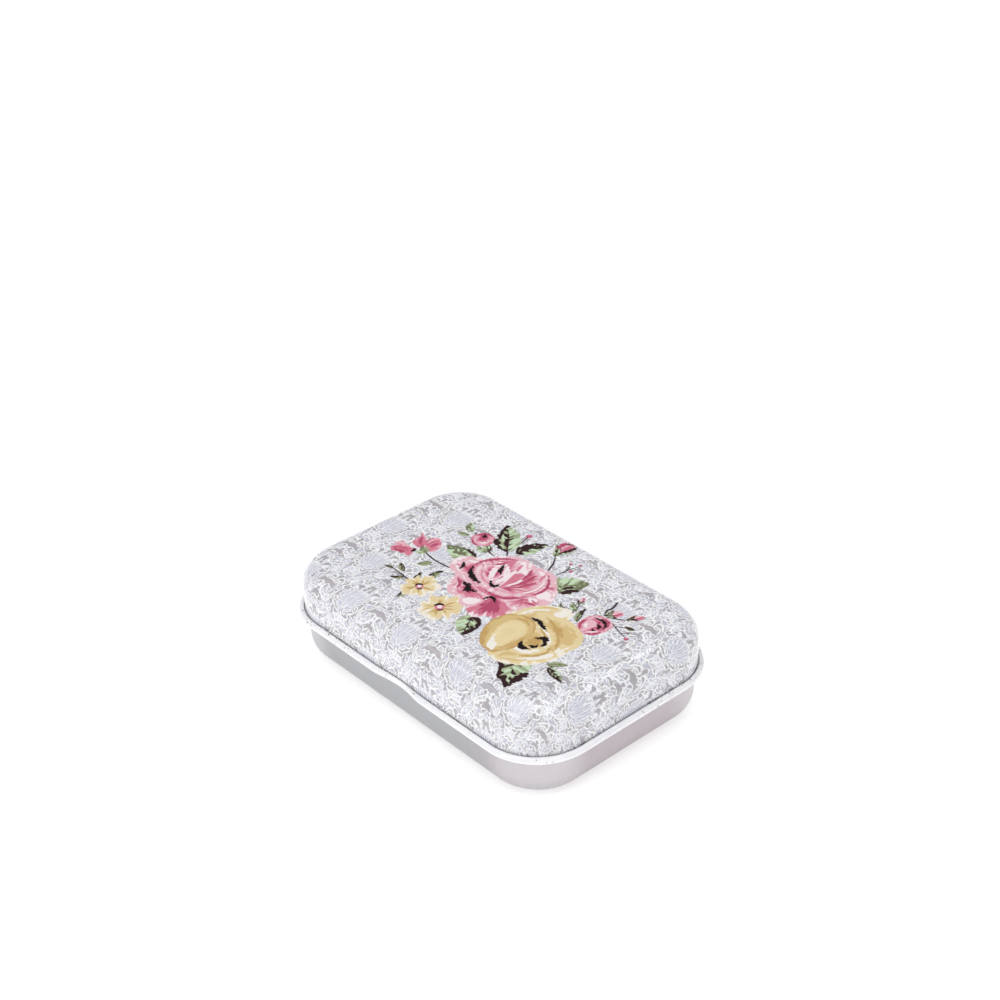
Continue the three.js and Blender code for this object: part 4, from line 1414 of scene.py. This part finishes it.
def enamel_material():
    """The white coat inside the lid and round the bead: above the bead it is painted greyer than on the
    bead, a painted shade; on the bead small chips show the steel.
    """
    surface = Surface("white_enamel", Coat_Weight=0.5, Coat_Roughness=0.12)
    height = surface.node("SeparateXYZ", Vector=surface.place()).outputs["Z"]
    # above the bead, inside the lid, the white is painted greyer: painted shade
    within = surface.ramp(height, BEAD_HEIGHT + 0.9, BEAD_HEIGHT + 1.6)
    painted_shade_white = surface.mix(within, colour(ENAMEL), colour(ENAMEL_SHADED))
    painted_shade_cool = surface.mix(within, colour(ENAMEL_COOL), colour(ENAMEL_SHADED_COOL))
    tone = surface.mix(surface.ramp(surface.noise(0.2, 3.0), 0.35, 0.7), painted_shade_white, painted_shade_cool)
    on_bead = surface.times(surface.ramp(height, BEAD_HEIGHT - 0.6, BEAD_HEIGHT - 0.1),
                            surface.ramp(height, BEAD_HEIGHT + 1.1, BEAD_HEIGHT + 0.85))
    spots = surface.ramp(surface.noise(1.9, 1.0, 0.4), 0.66, 0.71)
    worn = surface.ramp(surface.noise(0.11, 1.0), 0.44, 0.54)
    chips = surface.times(surface.times(spots, worn), on_bead)
    tone = surface.mix(chips, tone, colour(BARE_SPOT))
    surface.set("Base Color", tone)
    surface.set("Metallic", surface.times(chips, 0.7))
    surface.set("Roughness", surface.ramp(surface.noise(0.5, 4.0), 0.3, 0.7, 0.26, 0.4))
    skin = surface.math("SUBTRACT", surface.noise(1.3, 2.0), surface.times(chips, 0.8))
    surface.bump(skin, 0.16, 0.00005)
    return surface.material


def tinplate_material():
    """Satin tinned steel: fine draw marks down the walls, faint grain, hairline scratches low down."""
    surface = Surface("satin_tinplate", Metallic=1.0)
    grain = surface.noise(0.55, 5.0, 0.6)
    drawn = surface.noise(1.0, 4.0, 0.6, stretch=(3.0, 3.0, 0.12))
    fine = surface.noise(14.0, 2.0, 0.6)
    split = surface.node("SeparateXYZ", Vector=surface.place())
    height = split.outputs["Z"]
    # the sheet is a little warmer towards one end; round its corners it is painted lighter, a painted sheen
    end = surface.ramp(split.outputs["X"], 18, 40)
    tone = surface.mix(end, colour(TIN_COOL), colour(TIN_WARM))
    tone = surface.mix(surface.ramp(grain, 0.35, 0.68, 0.0, 0.3), tone, colour(TIN_GREY))
    # painted sheen: the corners get lighter tin the further out they reach
    corner_sheen_reach = surface.math("ADD", surface.math("ABSOLUTE", split.outputs["X"]),
                          surface.math("ABSOLUTE", split.outputs["Y"]))
    tone = surface.mix(surface.ramp(corner_sheen_reach, 56, 66, 0.0, 0.7), tone, colour(TIN_CORNER_SHEEN))
    tone = surface.mix(surface.ramp(drawn, 0.25, 0.8, 0.0, 0.3), tone, colour(TIN_PALE))
    tone = surface.mix(surface.ramp(fine, 0.3, 0.8, 0.0, 0.22), tone, colour(TIN_DARK))
    foot = surface.times(surface.ramp(height, 2.6, 1.6), surface.ramp(height, 0.35, 0.7))
    underside = surface.ramp(height, 0.2, 0.12)
    foot = surface.math("ADD", foot, surface.times(underside, 0.6), clamp=True)
    scratch = surface.ramp(surface.noise(1.0, 3.0, 0.7, stretch=(0.5, 0.5, 7.0)), 0.63, 0.68)
    patch = surface.ramp(surface.noise(0.12, 2.0), 0.5, 0.62)
    marks = surface.times(surface.times(scratch, patch), foot)
    tone = surface.mix(surface.times(marks, 0.8), tone, colour(TIN_MARK))
    surface.set("Base Color", tone)
    rough = surface.ramp(drawn, 0.2, 0.8, 0.36, 0.5)
    surface.set("Roughness", surface.math("ADD", rough, surface.times(marks, 0.15)))
    relief = surface.math("ADD", surface.times(drawn, 0.7), surface.times(fine, 0.3))
    surface.bump(surface.math("SUBTRACT", relief, surface.times(marks, 0.6)), 0.25, 0.00005)
    return surface.material


def wire_material():
    """Drawn steel wire: lines along it and a little grey oxide."""
    surface = Surface("drawn_wire", Metallic=1.0)
    lines = surface.noise(1.0, 3.0, 0.6, stretch=(0.12, 6.0, 6.0))
    oxide = surface.ramp(surface.noise(0.8, 4.0), 0.45, 0.7)
    tone = surface.mix(oxide, colour(WIRE_STEEL), colour(WIRE_OXIDE))
    surface.set("Base Color", tone)
    rough = surface.ramp(lines, 0.2, 0.8, 0.24, 0.4)
    surface.set("Roughness", surface.math("ADD", rough, surface.times(oxide, 0.15)))
    surface.bump(lines, 0.2, 0.00003)
    return surface.material


def floor_material():
    """A white light table: it glows a little of itself, so that shadows on it stay faint."""
    surface = Surface("pale_floor", Roughness=0.7, Emission_Strength=FLOOR_GLOW)
    surface.set("Base Color", colour(FLOOR))
    surface.set("Emission Color", colour(FLOOR))
    return surface.material


# ---------------------------------------------------------------- stage, light and camera

FLOOR_SIZE = 4.0  # metres
CAMERA_TARGET = Vector((0, 0, 0.010))
CAMERA_DISTANCE = 0.443
CAMERA_AZIMUTH = 49.67  # where the camera stands, in degrees round from the front
CAMERA_ELEVATION = 35.71
AIM_AZIMUTH = 49.35  # which way it looks back
AIM_ELEVATION = 31.36
CAMERA_ROLL = -2.05
LENS = 65.72
SENSOR = 36.0

ROOM_TINT = (1.0, 0.975, 0.985, 1.0)
HORIZON_GLOW = 0.6  # the room's brightness low down, where the walls are
UPPER_GLOW = 0.14  # and above them, where the lid's flat top mirrors it
FADE = (0.1, 0.36)  # how steeply up the one turns into the other, as the sine of the elevation
LIGHTS = (  # azimuth and elevation in degrees, distance and size in metres, brightness
    ("overhead", 45, 89, 1.0, (1.3, 1.3), 2.06),
    ("window", 3, 35, 1.0, (0.4, 0.3), 4.2),
    ("front_fill", 66, 42, 0.9, (0.7, 0.6), 0.35),
)


def direction(azimuth, elevation):
    a, e = math.radians(azimuth), math.radians(elevation)
    return Vector((math.sin(a) * math.cos(e), -math.cos(a) * math.cos(e), math.sin(e)))


def make_camera():
    camera = put_in_scene("camera", bpy.data.cameras.new("camera"))
    camera.data.lens = LENS
    camera.data.sensor_width = SENSOR
    back = direction(AIM_AZIMUTH, AIM_ELEVATION)
    right = Matrix.Rotation(math.radians(CAMERA_ROLL), 3, back) @ Vector((-back.y, back.x, 0)).normalized()
    turn = Matrix((right, back.cross(right), back)).transposed()
    place = CAMERA_TARGET + CAMERA_DISTANCE * direction(CAMERA_AZIMUTH, CAMERA_ELEVATION)
    camera.matrix_world = Matrix.Translation(place) @ turn.to_4x4()
    bpy.context.scene.camera = camera


def make_floor():
    half = FLOOR_SIZE / 2 / MM
    corners = [(-half, -half, 0), (half, -half, 0), (half, half, 0), (-half, half, 0)]
    floor = mesh_object("floor", corners, [(0, 1, 2, 3)])
    floor.data.materials.append(floor_material())


def area_light(name, azimuth, elevation, distance, size, glow):
    """A soft box of that size in metres; glow is how bright its face looks."""
    light = bpy.data.lights.new(name, "AREA")
    light.shape = "RECTANGLE"
    light.size, light.size_y = size
    light.energy = glow * size[0] * size[1] * math.pi
    lamp = put_in_scene(name, light)
    back = direction(azimuth, elevation)
    lamp.location = back * distance
    lamp.rotation_euler = back.to_track_quat("Z", "Y").to_euler()


def make_light():
    world = bpy.data.worlds.new("studio")
    bpy.context.scene.world = world
    world.use_nodes = True
    tree = world.node_tree
    way = tree.nodes.new("ShaderNodeTexCoord")
    split = tree.nodes.new("ShaderNodeSeparateXYZ")
    fade = tree.nodes.new("ShaderNodeMapRange")
    fade.interpolation_type = "SMOOTHSTEP"
    names = ("From Min", "From Max", "To Min", "To Max")
    for name, value in zip(names, (*FADE, HORIZON_GLOW, UPPER_GLOW)):
        fade.inputs[name].default_value = value
    tree.links.new(way.outputs["Generated"], split.inputs[0])
    tree.links.new(split.outputs["Z"], fade.inputs["Value"])
    tree.links.new(fade.outputs[0], tree.nodes["Background"].inputs["Strength"])
    tree.nodes["Background"].inputs["Color"].default_value = ROOM_TINT
    for row in LIGHTS:
        area_light(*row)


# ---------------------------------------------------------------- the scene

bpy.context.scene.view_settings.view_transform = "Standard"
for piece, material in (
    (make_base(), tinplate_material()),
    (make_lid_shell(), enamel_material()),
    (make_lid_print(), print_material()),
    (make_wire(), wire_material()),
):
    piece.data.materials.append(material)
make_floor()
make_light()
make_camera()
